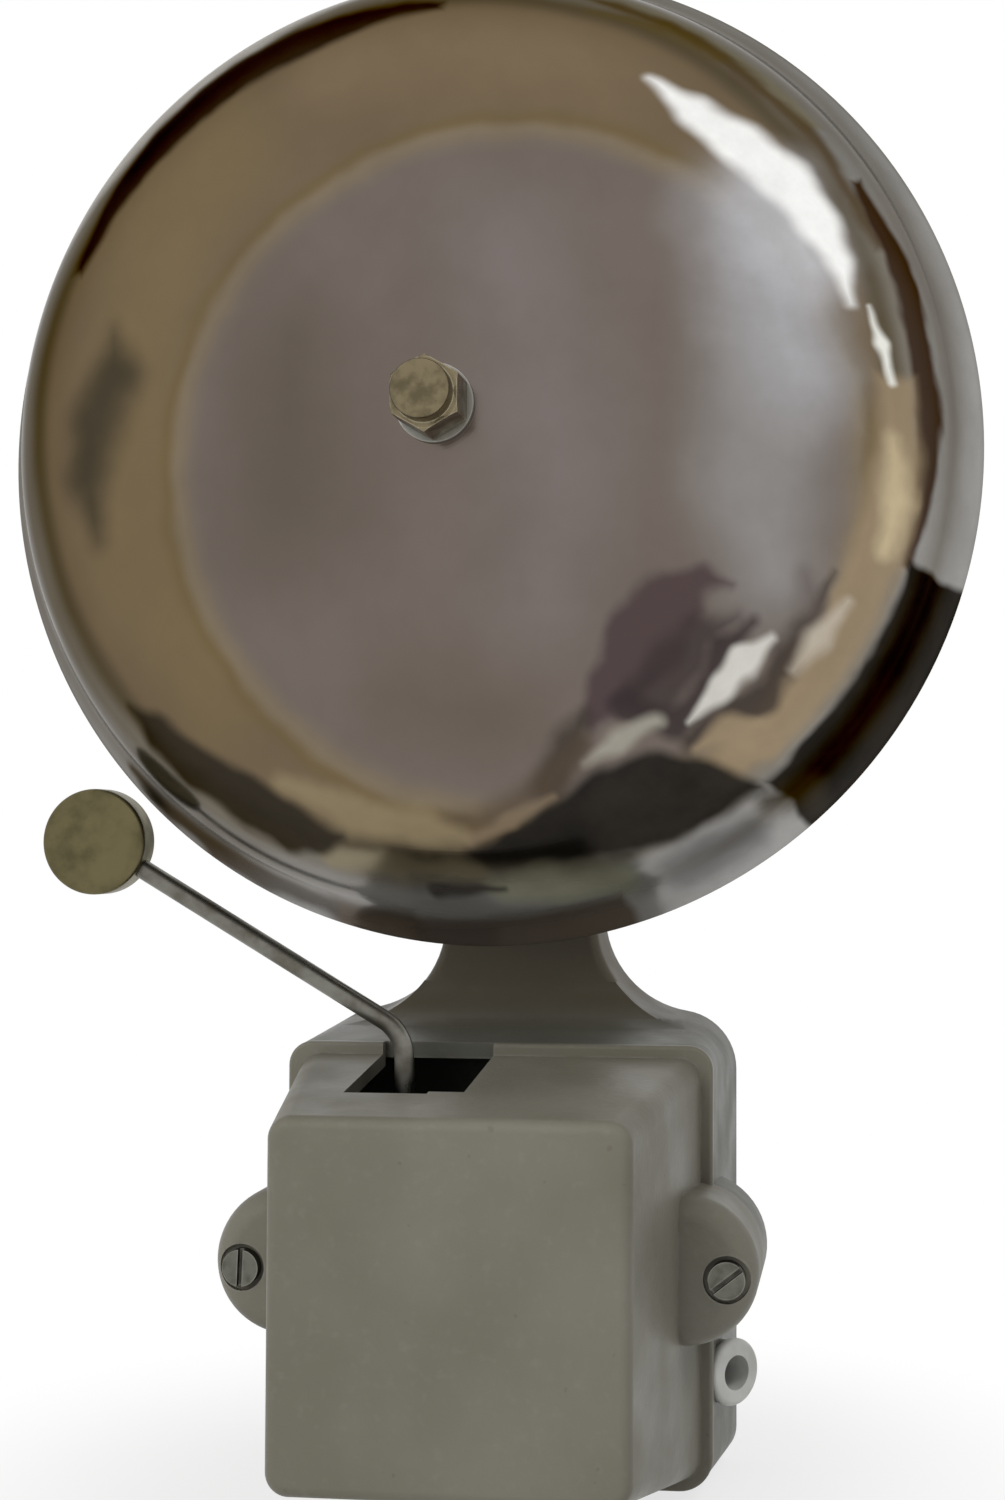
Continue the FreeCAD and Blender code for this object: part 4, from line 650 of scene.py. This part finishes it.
@dataclass(frozen=True)
class WoundWire:
    """Turns of enamelled copper wire under a coat of varnish."""

    name: str
    tone: Colour
    shade: Colour
    wire: float = 0.0005
    wave_factor: float = 0.314
    groove_depth: float = 0.00016

    def material(self) -> bpy.types.Material:
        """Level turns with a dark groove between each.

        Returns:
            The material.
        """
        r = Recipe(self.name)
        at = r.place()
        turns = r.node("TexWave", wave_type="BANDS", bands_direction="Z", wave_profile="SIN")
        r.feed(turns.inputs["Vector"], at)
        turns.inputs["Scale"].default_value = self.wave_factor / self.wire
        turns.inputs["Distortion"].default_value = 0.6
        turns.inputs["Detail"].default_value = 1.0
        # Painted shade: each turn is lighter in its middle and darker in the groove between turns
        colour = r.mix(r.window(turns.outputs["Fac"], 0.05, 0.55), self.shade, self.tone)
        colour = r.mix(r.window(r.noise(at, 0.006, 3.0), 0.45, 0.75, 0.0, 0.4), colour, self.shade)
        rough = r.window(r.noise(at, 0.004, 3.0), 0.30, 0.70, 0.22, 0.42)
        normal = r.bump(turns.outputs["Fac"], self.groove_depth, 0.8)
        return r.finish(Base_Color=colour, Metallic=0.35, Roughness=rough, Normal=normal)


# ---------------------------------------------------------------- mesh building
def smooth(mesh: bpy.types.Mesh, angle: float) -> None:
    """Smooth shading with sharp edges above an angle.

    Args:
        mesh: the mesh.
        angle: the angle in degrees.
    """
    mesh.shade_smooth()
    mesh.set_sharp_from_angle(angle=math.radians(angle))


def new_piece(name: str, bm: bmesh.types.BMesh, finish: Finish, body: Body,
              stands_for: Sequence[str] = (), angle: float = 32.0) -> bpy.types.Object:
    """Makes a finished piece of the object out of a bmesh.

    Args:
        name: name of the piece.
        bm: its mesh, which is freed.
        finish: its finish.
        body: the body that it rides on.
        stands_for: the frame's nodes that it replaces.
        angle: edges above this angle stay sharp.

    Returns:
        The object.
    """
    mesh = bpy.data.meshes.new(name)
    bm.to_mesh(mesh)
    bm.free()
    smooth(mesh, angle)
    made = bpy.data.objects.new(name, mesh)
    bpy.context.scene.collection.objects.link(made)
    mesh.materials.append(finish.material())
    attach(made, body.value)
    if stands_for:
        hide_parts(*stands_for)
    LOG.info("%s: %d faces, rides on %s", name, len(mesh.polygons), body.value)
    return made


def keep_node(frame: dict, node: str, finish: Finish) -> None:
    """Gives a node of the frame a better material and leaves its shape.

    Args:
        frame: the loaded frame.
        node: the node.
        finish: its finish.
    """
    target = frame["nodes"][node]
    for place in target.material_slots:
        place.material = finish.material()
    LOG.info("%s: kept, new finish", node)


def dulled_copy(frame: dict, node: str, finish: Finish, body: Body, width: float,
                segments: int = 2, angle: float = 34.0) -> bpy.types.Object:
    """A copy of a node whose sharp edges are broken by a small bevel, in place of the node.

    Args:
        frame: the loaded frame.
        node: the node.
        finish: its finish.
        body: the body that it rides on.
        width: width of the bevel in millimetres.
        segments: its steps.
        angle: edges above this angle are broken.

    Returns:
        The object.
    """
    bm = bmesh.new()
    bm.from_mesh(frame["nodes"][node].data)
    bmesh.ops.remove_doubles(bm, verts=bm.verts, dist=WELD)
    bmesh.ops.dissolve_degenerate(bm, dist=SLIVER, edges=bm.edges)
    made = new_piece(node + "_dressed", bm, finish, body, (node,), angle)
    bevel = made.modifiers.new("broken_edges", "BEVEL")
    bevel.width = width * MM
    bevel.segments = segments
    bevel.limit_method = "ANGLE"
    bevel.angle_limit = math.radians(angle)
    bevel.use_clamp_overlap = True
    bevel.harden_normals = False
    weighted = made.modifiers.new("even_shading", "WEIGHTED_NORMAL")
    weighted.keep_sharp = True
    weighted.weight = 60
    return made


# ---------------------------------------------------------------- shared finishes
ZINC = Metal("zinc_plate", (0.44, 0.44, 0.41), (0.25, 0.24, 0.20), (0.62, 0.61, 0.57), 0.36)
BRIGHT = Metal("bright_steel", (0.36, 0.355, 0.33), (0.20, 0.185, 0.15), (0.55, 0.54, 0.50), 0.28,
               stain_share=0.6)
IRON = Metal("soft_iron", (0.27, 0.265, 0.25), (0.15, 0.12, 0.09), (0.42, 0.41, 0.39), 0.42)
AGED_BRASS = Metal("aged_brass", (0.42, 0.33, 0.16), (0.24, 0.19, 0.10), (0.62, 0.52, 0.30), 0.34)
SILVER = Metal("silver_contact", (0.72, 0.70, 0.66), (0.40, 0.37, 0.32), (0.85, 0.84, 0.80), 0.30)
BRONZE = Metal("phosphor_bronze", (0.50, 0.32, 0.19), (0.30, 0.19, 0.12), (0.66, 0.47, 0.31), 0.32)
FIBRE = Moulding("fibre", (0.20, 0.065, 0.040), (0.13, 0.045, 0.030), roughness=0.6)
RESIN = Moulding("moulded_resin", (0.028, 0.022, 0.018), (0.045, 0.034, 0.026), roughness=0.38)
BOBBIN = Moulding("bobbin_resin", (0.055, 0.035, 0.022), (0.035, 0.024, 0.017), roughness=0.42)
WIRE = WoundWire("coil_wire", (0.36, 0.115, 0.040), (0.10, 0.032, 0.014))


# ---------------------------------------------------------------- sub-assemblies
@dataclass
class Gong:
    """The spun gong with its post, washers and nut. Lengths in millimetres."""

    axis_z: float = 202.0
    rim_y: float = -55.0
    radius: float = 100.0
    depth: float = 52.5
    wall: float = 2.5
    dome_ball: float = 244.25
    shoulder_radius: float = 44.0
    shoulder_end: float = 75.0
    flare_reach: float = 6.7
    hole: float = 4.2
    turn_steps: int = 240
    dome_steps: int = 22
    shoulder_steps: int = 26
    flare_steps: int = 8
    rim_break: float = 0.5
    nut_break: float = 0.35
    pillar_break: float = 0.4

    def plate(self) -> BellPlate:
        """The gong's plating, with its stains and the reflections that are painted on it.

        Returns:
            The finish.
        """
        # Rings and marks are mostly painted reflections of a room and painted highlights, with some tarnish
        # and stains; the white marks are painted highlights
        rings = ((0.00, tint(112, 100, 88)), (0.66, tint(113, 98, 77)), (0.78, tint(112, 97, 76)),
                 (0.82, tint(90, 81, 65)), (0.865, tint(130, 125, 116)), (0.90, tint(154, 152, 149)),
                 (1.00, tint(160, 159, 157)))
        ochre, tan, pale = tint(128, 110, 76), tint(154, 136, 110), tint(150, 150, 148)
        white, night, brown = tint(255, 255, 253), tint(30, 29, 28), tint(46, 42, 36)
        plum, dusk, painted_dark = tint(80, 66, 68), tint(56, 48, 50), tint(38, 29, 25)
        marks = (
            Streak(((-42, 50, 9), (-54, 34, 10), (-60, 4, 10), (-58, -24, 11), (-44, -50, 9)), ochre,
                   0.45, 8.0),
            Streak(((-20, 66, 9), (4, 68, 9), (28, 62, 8)), tint(128, 110, 86), 0.6, 7.0),
            Streak(((13, -11, 66.0),), tint(110, 94, 62), 0.65, 1.8, 0.5),
            Streak(((13, -11, 63.8),), tint(130, 117, 98), 0.85, 1.6, 0.5),
            Streak(((13, -11, 60.5),), tint(114, 104, 98), 0.95, 3.0, 0.5),
            Streak(((-28, 12, 8), (-28, -16, 12)), tint(94, 85, 76), 0.80, 15.0),
            Streak(((-6, -52, 8), (10, -56, 6)), tint(104, 94, 84), 0.75, 9.0),
            Streak(((12, 28, 8), (22, -6, 8), (20, -34, 6)), tint(126, 117, 115), 0.80, 14.0),
            Streak(((60, 8, 12), (58, -14, 10), (60, -30, 7)), tint(144, 141, 139), 0.92, 9.0),
            Streak(((54, 36, 7), (60, 22, 9), (64, 6, 6)), tint(176, 176, 179), 0.88, 11.0),
            Streak(((60, 40, 6), (67, 26, 4)), tint(205, 206, 210), 0.75, 8.0),
            Streak(((-64, 17, 0.5), (-63, 9, 4.5), (-67, 0, 5.5), (-69, -10, 4.0), (-67, -22, 1.0)),
                   tint(62, 56, 44), 0.90, 4.5),
            Arc(93, 8, 30, 100, pale, 0.70, 2.0, 0.3),
            Arc(92, 6, 108, 160, tint(146, 143, 140), 0.70, 2.0, 0.3),
            Arc(90, 5.4, 104, 154, white, 0.95, 2.4, 0.4, 0.8),
            Arc(79.6, 4.4, 92, 158, painted_dark, 0.95, 1.4, 0.5, 0.75),
            Arc(87, 2.2, 40, 74, tint(134, 128, 106), 0.7, 1.4, 0.5),
            Arc(85.4, 1.8, 22, 76, tint(86, 72, 54), 0.85, 1.4, 0.8, 0.5),
            Streak(((25, 78, 0.6), (38, 75, 1.6), (50, 69, 1.2)), tint(96, 84, 58), 0.75, 1.6),
            Arc(88, 2.5, -18, 32, tint(62, 47, 40), 0.95, 0.9, 0.4, 0.6),
            Streak(((37, 62, 0.4), (46, 56, 2.6), (54, 49.8, 4.0), (62, 42.6, 4.2), (68, 35, 3.4),
                    (72, 27.5, 1.8), (74.5, 20, 0.3)), white, 0.98, 1.8, 0.3),
            Arc(82.6, 4.8, -55, 5, tan, 0.90, 2.0, 0.5, 0.3),
            Streak(((81.5, -4, 1.0), (82.5, -15, 2.0), (80, -25, 1.0)), tint(205, 188, 152), 0.80, 2.2),
            Arc(97, 8.4, -49, -17, night, 0.97, 1.0, 0.2),
            Streak(((58, -71, 1.5), (66, -69, 3.0)), tint(62, 58, 52), 0.85, 2.8),
            Streak(((27, -57, 1.5), (32, -50, 4.6), (37, -42.5, 6.6), (42, -35, 5.2), (47, -31, 2.0),
                    (53, -33, 0.2)), plum, 0.95, 1.6),
            Streak(((38, -52, 4.5), (43.5, -46, 4.0), (47.5, -41, 2.6), (54, -38, 0.6)), dusk, 0.80, 2.2),
            Streak(((34, -54, 3.0), (42, -57, 2.6), (47, -51, 1.8), (51, -43.5, 2.4), (57, -39, 0.6)),
                   dusk, 0.88, 1.5),
            Streak(((45, -60, 2.0), (52, -55, 1.8), (58, -52, 2.2), (62, -46, 1.8), (66, -39, 1.5),
                    (71, -29, 0.3)), tint(62, 54, 50), 0.88, 1.5),
            Streak(((67, -36, 2.2), (66, -30, 1.0)), tint(96, 86, 82), 0.65, 2.6),
            Streak(((3, -81.4, 1.2), (12, -79.2, 3.2), (21, -76.4, 5.4), (30, -73.0, 7.4),
                    (39, -70.2, 7.8), (47, -69.0, 5.4), (57, -68.0, 0.8)), night, 0.97, 1.6, 0.5),
            Streak(((19, -68, 3.0), (22.5, -61, 2.8), (26, -56, 1.0)), tint(64, 58, 52), 0.88, 2.2),
            Streak(((46, -61.5, 0.6), (51.5, -58, 2.2), (58, -60, 3.4)), tan, 0.92, 1.4, 0.5),
            Streak(((44.5, -56.5, 0.3), (50, -50.8, 1.9), (55, -45.6, 2.6), (60.5, -41.8, 0.6)),
                   tint(212, 210, 202), 0.95, 1.1, 0.5),
            Streak(((25.5, -64, 0.3), (32, -60.4, 1.8), (39, -56.4, 1.5)), tint(160, 156, 144), 0.93, 1.3,
                   0.5),
            Streak(((63.5, -47, 0.3), (68, -41, 1.9), (73.5, -34.5, 0.7)), tint(192, 182, 166), 0.90, 1.6,
                   0.5),
            Streak(((-8, -75.5, 0.4), (8, -74, 1.8), (18, -68.5, 2.4), (25, -61, 1.4)), tint(84, 71, 58),
                   0.75, 2.6),
            Streak(((3, -78.6, 1.0), (12, -74.0, 1.0), (20, -70.2, 0.4)), tint(126, 110, 90), 0.85, 1.0,
                   0.3),
            Streak(((-32, -68, 1.5), (-18, -73, 3.4), (-5, -76, 3.0), (2, -77.8, 1.2)), tint(142, 128, 100),
                   0.80, 2.2),
            Streak(((-24, -81.5, 2.0), (-10, -83.6, 2.6), (4, -84.6, 1.6)), tint(150, 140, 116), 0.85, 1.8),
            Streak(((-63.5, -52.5, 0.4), (-58, -58, 3.2), (-50, -64.5, 4.4), (-40, -71, 4.8),
                    (-32, -76, 4.2), (-26, -78, 2.6), (-20.5, -77, 0.6)), brown, 0.95, 1.5, 0.6),
            Streak(((-72, -63.5, 1.2), (-64, -72, 3.0), (-55, -79, 3.4), (-45, -86, 2.6), (-30, -92, 2.2),
                    (-14, -95, 2.4)), tint(62, 55, 48), 0.88, 1.6, 0.4),
            Streak(((8, -87.5, 2.6), (18, -87, 3.4), (30, -85.5, 3.0)), tint(180, 180, 158), 0.85, 2.2),
            Streak(((40, -84.5, 3.5), (54, -77, 3.2)), tint(104, 105, 107), 0.80, 2.8),
            Arc(97.5, 3.8, 252, 288, tint(92, 80, 68), 0.90, 1.4, 0.3),
            Streak(((-5, -88, 1.4), (8, -87.6, 0.6)), tint(80, 76, 72), 0.90, 1.0, 0.2),
            Streak(((77.6, 20, 0.1), (79.8, 13, 0.7), (81.6, 6, 0.6)), tint(240, 240, 232), 0.92, 0.8,
                   0.2))
        return BellPlate("gong_plate", (0.0, 0.0, self.axis_z * MM), self.radius, rings, marks)

    def curves(self) -> list[tuple[tuple[float, float], float, float, int]]:
        """The three arcs of the outer profile, from the hole to the rim.

        Returns:
            For each arc its centre as radius and depth, its start and end angle, and its steps.
        """
        end = math.radians(90 - self.shoulder_end)
        normal = (math.cos(end), math.sin(end))
        centre_x = self.radius - self.flare_reach - self.shoulder_radius * normal[0]
        rise = math.sqrt((self.dome_ball - self.shoulder_radius) ** 2 - centre_x ** 2)
        dome = (0.0, self.depth - self.dome_ball)
        shoulder = (centre_x, dome[1] + rise)
        dome_angle = math.atan2(rise, centre_x)
        skirt = (shoulder[0] + self.shoulder_radius * normal[0],
                 shoulder[1] + self.shoulder_radius * normal[1])
        chord = (self.radius - skirt[0], -skirt[1])
        length = math.hypot(*chord)
        turn = math.acos((chord[0] * normal[1] - chord[1] * normal[0]) / length)
        flare = length / (2 * math.sin(turn))
        flare_centre = (skirt[0] + flare * normal[0], skirt[1] + flare * normal[1])
        start = math.acos(self.hole / self.dome_ball)
        return [(dome, start, dome_angle, self.dome_steps),
                (shoulder, dome_angle, end, self.shoulder_steps),
                (flare_centre, end, end + 2 * turn, self.flare_steps)]

    def gong_mesh(self) -> bmesh.types.BMesh:
        """Spins the gong: a point draws the profile, and the profile draws the shell.

        Returns:
            The mesh.
        """
        bm = bmesh.new()
        arcs = self.curves()
        start = arcs[0][1]
        first = (self.dome_ball * math.cos(start), arcs[0][0][1] + self.dome_ball * math.sin(start))
        tip = [bm.verts.new((first[0] * MM, (self.rim_y - first[1]) * MM, self.axis_z * MM))]
        for centre, angle0, angle1, steps in arcs:
            pivot = Vector((centre[0], self.rim_y - centre[1], self.axis_z)) * MM
            drawn = bmesh.ops.spin(bm, geom=tip, cent=pivot, axis=(0, 0, -1), angle=angle1 - angle0,
                                   steps=steps, use_duplicate=False)
            tip = [v for v in drawn["geom_last"] if isinstance(v, bmesh.types.BMVert)]
        bmesh.ops.spin(bm, geom=bm.verts[:] + bm.edges[:], cent=(0, 0, self.axis_z * MM), axis=(0, 1, 0),
                       angle=2 * math.pi, steps=self.turn_steps, use_merge=True, use_duplicate=False)
        bmesh.ops.remove_doubles(bm, verts=bm.verts, dist=SLIVER)
        bmesh.ops.recalc_face_normals(bm, faces=bm.faces)
        if sum(f.normal.y * f.calc_area() for f in bm.faces) > 0:
            bmesh.ops.reverse_faces(bm, faces=bm.faces)
        bmesh.ops.solidify(bm, geom=bm.faces[:], thickness=self.wall * MM)
        bmesh.ops.recalc_face_normals(bm, faces=bm.faces)
        corners = [e for e in bm.edges if e.is_manifold and e.calc_face_angle() > math.radians(50)]
        bmesh.ops.bevel(bm, geom=corners, offset=self.rim_break * MM, offset_type="OFFSET", segments=3,
                        profile=0.5, affect="EDGES", material=-1, clamp_overlap=True)
        return bm

    def build(self, frame: dict) -> None:
        """Builds the gong and dresses what carries it.

        Args:
            frame: the loaded frame.
        """
        new_piece("gong_shell", self.gong_mesh(), self.plate(), Body.BELL, ("gong",))
        nut = Metal("nut_plate", (0.215, 0.175, 0.105), (0.095, 0.080, 0.046), (0.56, 0.51, 0.38), 0.30,
                    stain_size=0.004, stain_share=0.7)
        dulled_copy(frame, "gong_nut", nut, Body.BELL, self.nut_break)
        keep_node(frame, "gong_nut_washer", ZINC)
        keep_node(frame, "gong_seat_washer", FIBRE)
        dulled_copy(frame, "gong_pillar", BRIGHT, Body.BELL, self.pillar_break)


@dataclass
class Hammer:
    """The armature with the hammer rod, the head and the contact leaf. Lengths in millimetres."""

    armature_break: float = 0.3

    def build(self, frame: dict) -> None:
        """Dresses everything that swings.

        Args:
            frame: the loaded frame.
        """
        head = Metal("head_brass", (0.158, 0.136, 0.070), (0.088, 0.077, 0.040), (0.27, 0.24, 0.14), 0.40,
                     stain_size=0.011, stain_share=0.7, grain=0.0011, grain_depth=0.000035)
        keep_node(frame, "hammer_head", head)
        rod = Metal("rod_steel", (0.20, 0.195, 0.172), (0.100, 0.088, 0.064), (0.36, 0.35, 0.32), 0.32,
                    stain_size=0.010, stain_share=0.7, grain=0.0006)
        keep_node(frame, "hammer_rod", rod)
        dulled_copy(frame, "armature", IRON, Body.HAMMER, self.armature_break)
        keep_node(frame, "rod_clamp_screw", ZINC)
        keep_node(frame, "contact_leaf", BRONZE)
        keep_node(frame, "leaf_rivets", AGED_BRASS)
        keep_node(frame, "moving_contact", SILVER)


@dataclass
class Case:
    """The casting on the wall, its cover, the cover's screws and the cable bush. In millimetres."""

    casting_break: float = 0.7
    cover_break: float = 0.55
    screw_break: float = 0.25

    def build(self, frame: dict) -> None:
        """Dresses the case.

        Args:
            frame: the loaded frame.
        """
        # The casting's enamel is written darker than the cover's, though both are one paint: painted shade
        # on its side and under the gong
        casting = CastEnamel("shaded_casting_enamel", (0.108, 0.109, 0.092), (0.082, 0.082, 0.067),
                             (0.215, 0.216, 0.196), (0.092, 0.069, 0.038), gong_shadow_above=0.086)
        cover = CastEnamel("cover_enamel", (0.172, 0.164, 0.131), (0.145, 0.136, 0.105),
                           (0.290, 0.284, 0.250))
        dulled_copy(frame, "rear_casting", casting, Body.BELL, self.casting_break, 3)
        dulled_copy(frame, "front_cover", cover, Body.BELL, self.cover_break, 3)
        painted = Metal("painted_screw", (0.150, 0.148, 0.125), (0.080, 0.074, 0.056), (0.34, 0.33, 0.29),
                        0.42, stain_size=0.003)
        dulled_copy(frame, "cover_screws", painted, Body.BELL, self.screw_break)
        bush = Moulding("bush_plastic", (0.58, 0.58, 0.56), (0.46, 0.46, 0.43), (0.68, 0.68, 0.66), 0.42)
        keep_node(frame, "cable_bush", bush)


@dataclass
class Magnet:
    """The folded frame with its cores, coils and return spring. Lengths in millimetres."""

    frame_break: float = 0.3

    def build(self, frame: dict) -> None:
        """Dresses the magnet.

        Args:
            frame: the loaded frame.
        """
        dulled_copy(frame, "magnet_frame", ZINC, Body.BELL, self.frame_break)
        for node in ("frame_screws", "core_screws"):
            keep_node(frame, node, ZINC)
        for node in ("magnet_core_rear", "magnet_core_front"):
            keep_node(frame, node, IRON)
        for node in ("bobbin_rear", "bobbin_front"):
            keep_node(frame, node, BOBBIN)
        for node in ("winding_rear", "winding_front"):
            keep_node(frame, node, WIRE)
        for node in ("return_spring", "spring_anchor", "pivot_pin"):
            keep_node(frame, node, BRIGHT)


class Contacts:
    """The contact arm with its screw, and the terminals."""

    def build(self, frame: dict) -> None:
        """Dresses contacts and terminals.

        Args:
            frame: the loaded frame.
        """
        for node in ("contact_block", "terminal_block"):
            keep_node(frame, node, RESIN)
        for node in ("contact_arm", "contact_screw", "contact_lock_nut", "terminal_saddles",
                     "terminal_screws"):
            keep_node(frame, node, AGED_BRASS)
        for node in ("contact_block_screws", "terminal_block_screw"):
            keep_node(frame, node, ZINC)


# ---------------------------------------------------------------- studio
@dataclass
class Studio:
    """Pale floor and backdrop, soft lamps and the camera."""

    floor_z: float = -0.0138
    floor_half: float = 4.0
    backdrop_y: float = 2.5
    daylight: float = 0.34
    lens: float = 51.4
    shift_x: float = -0.0784
    sensor: float = 36.0
    nearest: float = 0.01
    farthest: float = 50.0
    camera_at: Point = (0.07888, -0.48249, 0.12441)
    camera_right: Point = (0.992782, 0.119913, 0.002038)
    camera_up: Point = (0.002814, -0.040281, 0.999184)
    key_at: Point = (0.62, -0.24, 0.86)
    key_towards: Point = (0.0, -0.06, 0.18)
    key_size: float = 0.46
    key_watts: float = 3.2
    fill_at: Point = (-0.9, -1.6, 0.9)
    fill_towards: Point = (0.0, -0.05, 0.12)
    fill_size: float = 1.5
    fill_watts: float = 26.0

    def background(self) -> bpy.types.Material:
        """Pale matt paper that shows white from afar and keeps the object's shadow.

        Returns:
            The material.
        """
        r = Recipe("studio_paper")
        rays = r.node("LightPath")
        mirrored = r.calc("MAXIMUM", rays.outputs["Is Glossy Ray"], rays.outputs["Is Transmission Ray"])
        seen = r.calc("MAXIMUM", rays.outputs["Is Camera Ray"], mirrored)
        far = r.vector("LENGTH", r.place((0.0, -0.03, self.floor_z)))
        away = r.window(far, 0.05, 0.16, 0.72, 1.0)
        white = r.node("Emission")
        paper = r.node("BsdfDiffuse")
        fibres = r.noise(r.place(), 0.02)
        r.feed(paper.inputs["Color"], r.mix(fibres, (0.80, 0.80, 0.79), (0.84, 0.84, 0.83)))
        both = r.node("MixShader")
        r.feed(both.inputs[0], r.calc("MULTIPLY", seen, away))
        r.feed(both.inputs[1], paper.outputs[0])
        r.feed(both.inputs[2], white.outputs[0])
        r.feed(r.tree.nodes["Material Output"].inputs["Surface"], both.outputs[0])
        r.tree.nodes.remove(r.shader)
        return r.material

    def sheet(self, name: str, turn: Matrix, at: Vector, material: bpy.types.Material) -> None:
        """One large plane that isn't part of the object.

        Args:
            name: its name.
            turn: its rotation.
            at: its middle.
            material: its material.
        """
        bm = bmesh.new()
        bmesh.ops.create_grid(bm, x_segments=1, y_segments=1, size=self.floor_half,
                              matrix=Matrix.Translation(at) @ turn)
        mesh = bpy.data.meshes.new(name)
        bm.to_mesh(mesh)
        bm.free()
        made = bpy.data.objects.new(name, mesh)
        bpy.context.scene.collection.objects.link(made)
        mesh.materials.append(material)

    def lamp(self, name: str, at: Point, towards: Point, size: float, watts: float) -> None:
        """A soft box.

        Args:
            name: its name.
            at: its place.
            towards: the point that it faces.
            size: its width and height.
            watts: its power.
        """
        data = bpy.data.lights.new(name, "AREA")
        data.shape = "RECTANGLE"
        data.size, data.size_y = size, size
        data.energy = watts
        made = bpy.data.objects.new(name, data)
        made.location = at
        made.rotation_mode = "QUATERNION"
        made.rotation_quaternion = (Vector(towards) - Vector(at)).to_track_quat("-Z", "Y")
        made.visible_glossy = False
        bpy.context.scene.collection.objects.link(made)

    def world(self) -> None:
        """White to the camera and to metal, and daylight for everything else."""
        world = bpy.data.worlds.new("daylight")
        world.use_nodes = True
        bpy.context.scene.world = world
        tree = world.node_tree
        nodes, links = tree.nodes, tree.links
        sky = nodes["Background"]
        sky.inputs["Color"].default_value = WHITE
        sky.inputs["Strength"].default_value = self.daylight
        white = nodes.new("ShaderNodeBackground")
        white.inputs["Color"].default_value = WHITE
        rays = nodes.new("ShaderNodeLightPath")
        first, second = (nodes.new("ShaderNodeMath") for _ in range(2))
        for node in (first, second):
            node.operation = "MAXIMUM"
        links.new(rays.outputs["Is Camera Ray"], first.inputs[0])
        links.new(rays.outputs["Is Glossy Ray"], first.inputs[1])
        links.new(first.outputs[0], second.inputs[0])
        links.new(rays.outputs["Is Transmission Ray"], second.inputs[1])
        both = nodes.new("ShaderNodeMixShader")
        links.new(second.outputs[0], both.inputs[0])
        links.new(sky.outputs[0], both.inputs[1])
        links.new(white.outputs[0], both.inputs[2])
        links.new(both.outputs[0], nodes["World Output"].inputs["Surface"])

    def camera(self) -> None:
        """The camera: a little to the right, level with the top of the case."""
        data = bpy.data.cameras.new("view")
        data.lens = self.lens
        data.sensor_width = self.sensor
        data.shift_x = self.shift_x
        data.clip_start, data.clip_end = self.nearest, self.farthest
        made = bpy.data.objects.new("view", data)
        right, up = Vector(self.camera_right), Vector(self.camera_up)
        back = right.cross(up)
        axes = Matrix((right, up, back)).transposed().to_4x4()
        made.matrix_world = Matrix.Translation(self.camera_at) @ axes
        bpy.context.scene.collection.objects.link(made)
        bpy.context.scene.camera = made

    def build(self) -> None:
        """Sets up the studio."""
        paper = self.background()
        self.sheet("floor", Matrix.Identity(4), Vector((0.0, 0.0, self.floor_z)), paper)
        self.sheet("backdrop", Matrix.Rotation(math.radians(90), 4, "X"),
                   Vector((0.0, self.backdrop_y, self.floor_z + self.floor_half)), paper)
        self.lamp("key", self.key_at, self.key_towards, self.key_size, self.key_watts)
        self.lamp("fill", self.fill_at, self.fill_towards, self.fill_size, self.fill_watts)
        self.world()
        self.camera()
        bpy.context.scene.view_settings.view_transform = "Standard"
        LOG.info("studio: floor, backdrop, two lamps, camera")


def clear_defaults() -> None:
    """Removes whatever the start-up scene holds."""
    for name in ("Cube", "Light", "Camera"):
        found = bpy.data.objects.get(name)
        if found is not None:
            bpy.data.objects.remove(found)


def main() -> None:
    """Loads the frame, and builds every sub-assembly and the studio."""
    logging.basicConfig(level=logging.INFO, format="%(name)s: %(message)s")
    clear_defaults()
    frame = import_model()
    for assembly in (Case(), Gong(), Hammer(), Magnet(), Contacts()):
        assembly.build(frame)
    Studio().build()


if __name__ == "__main__":
    main()
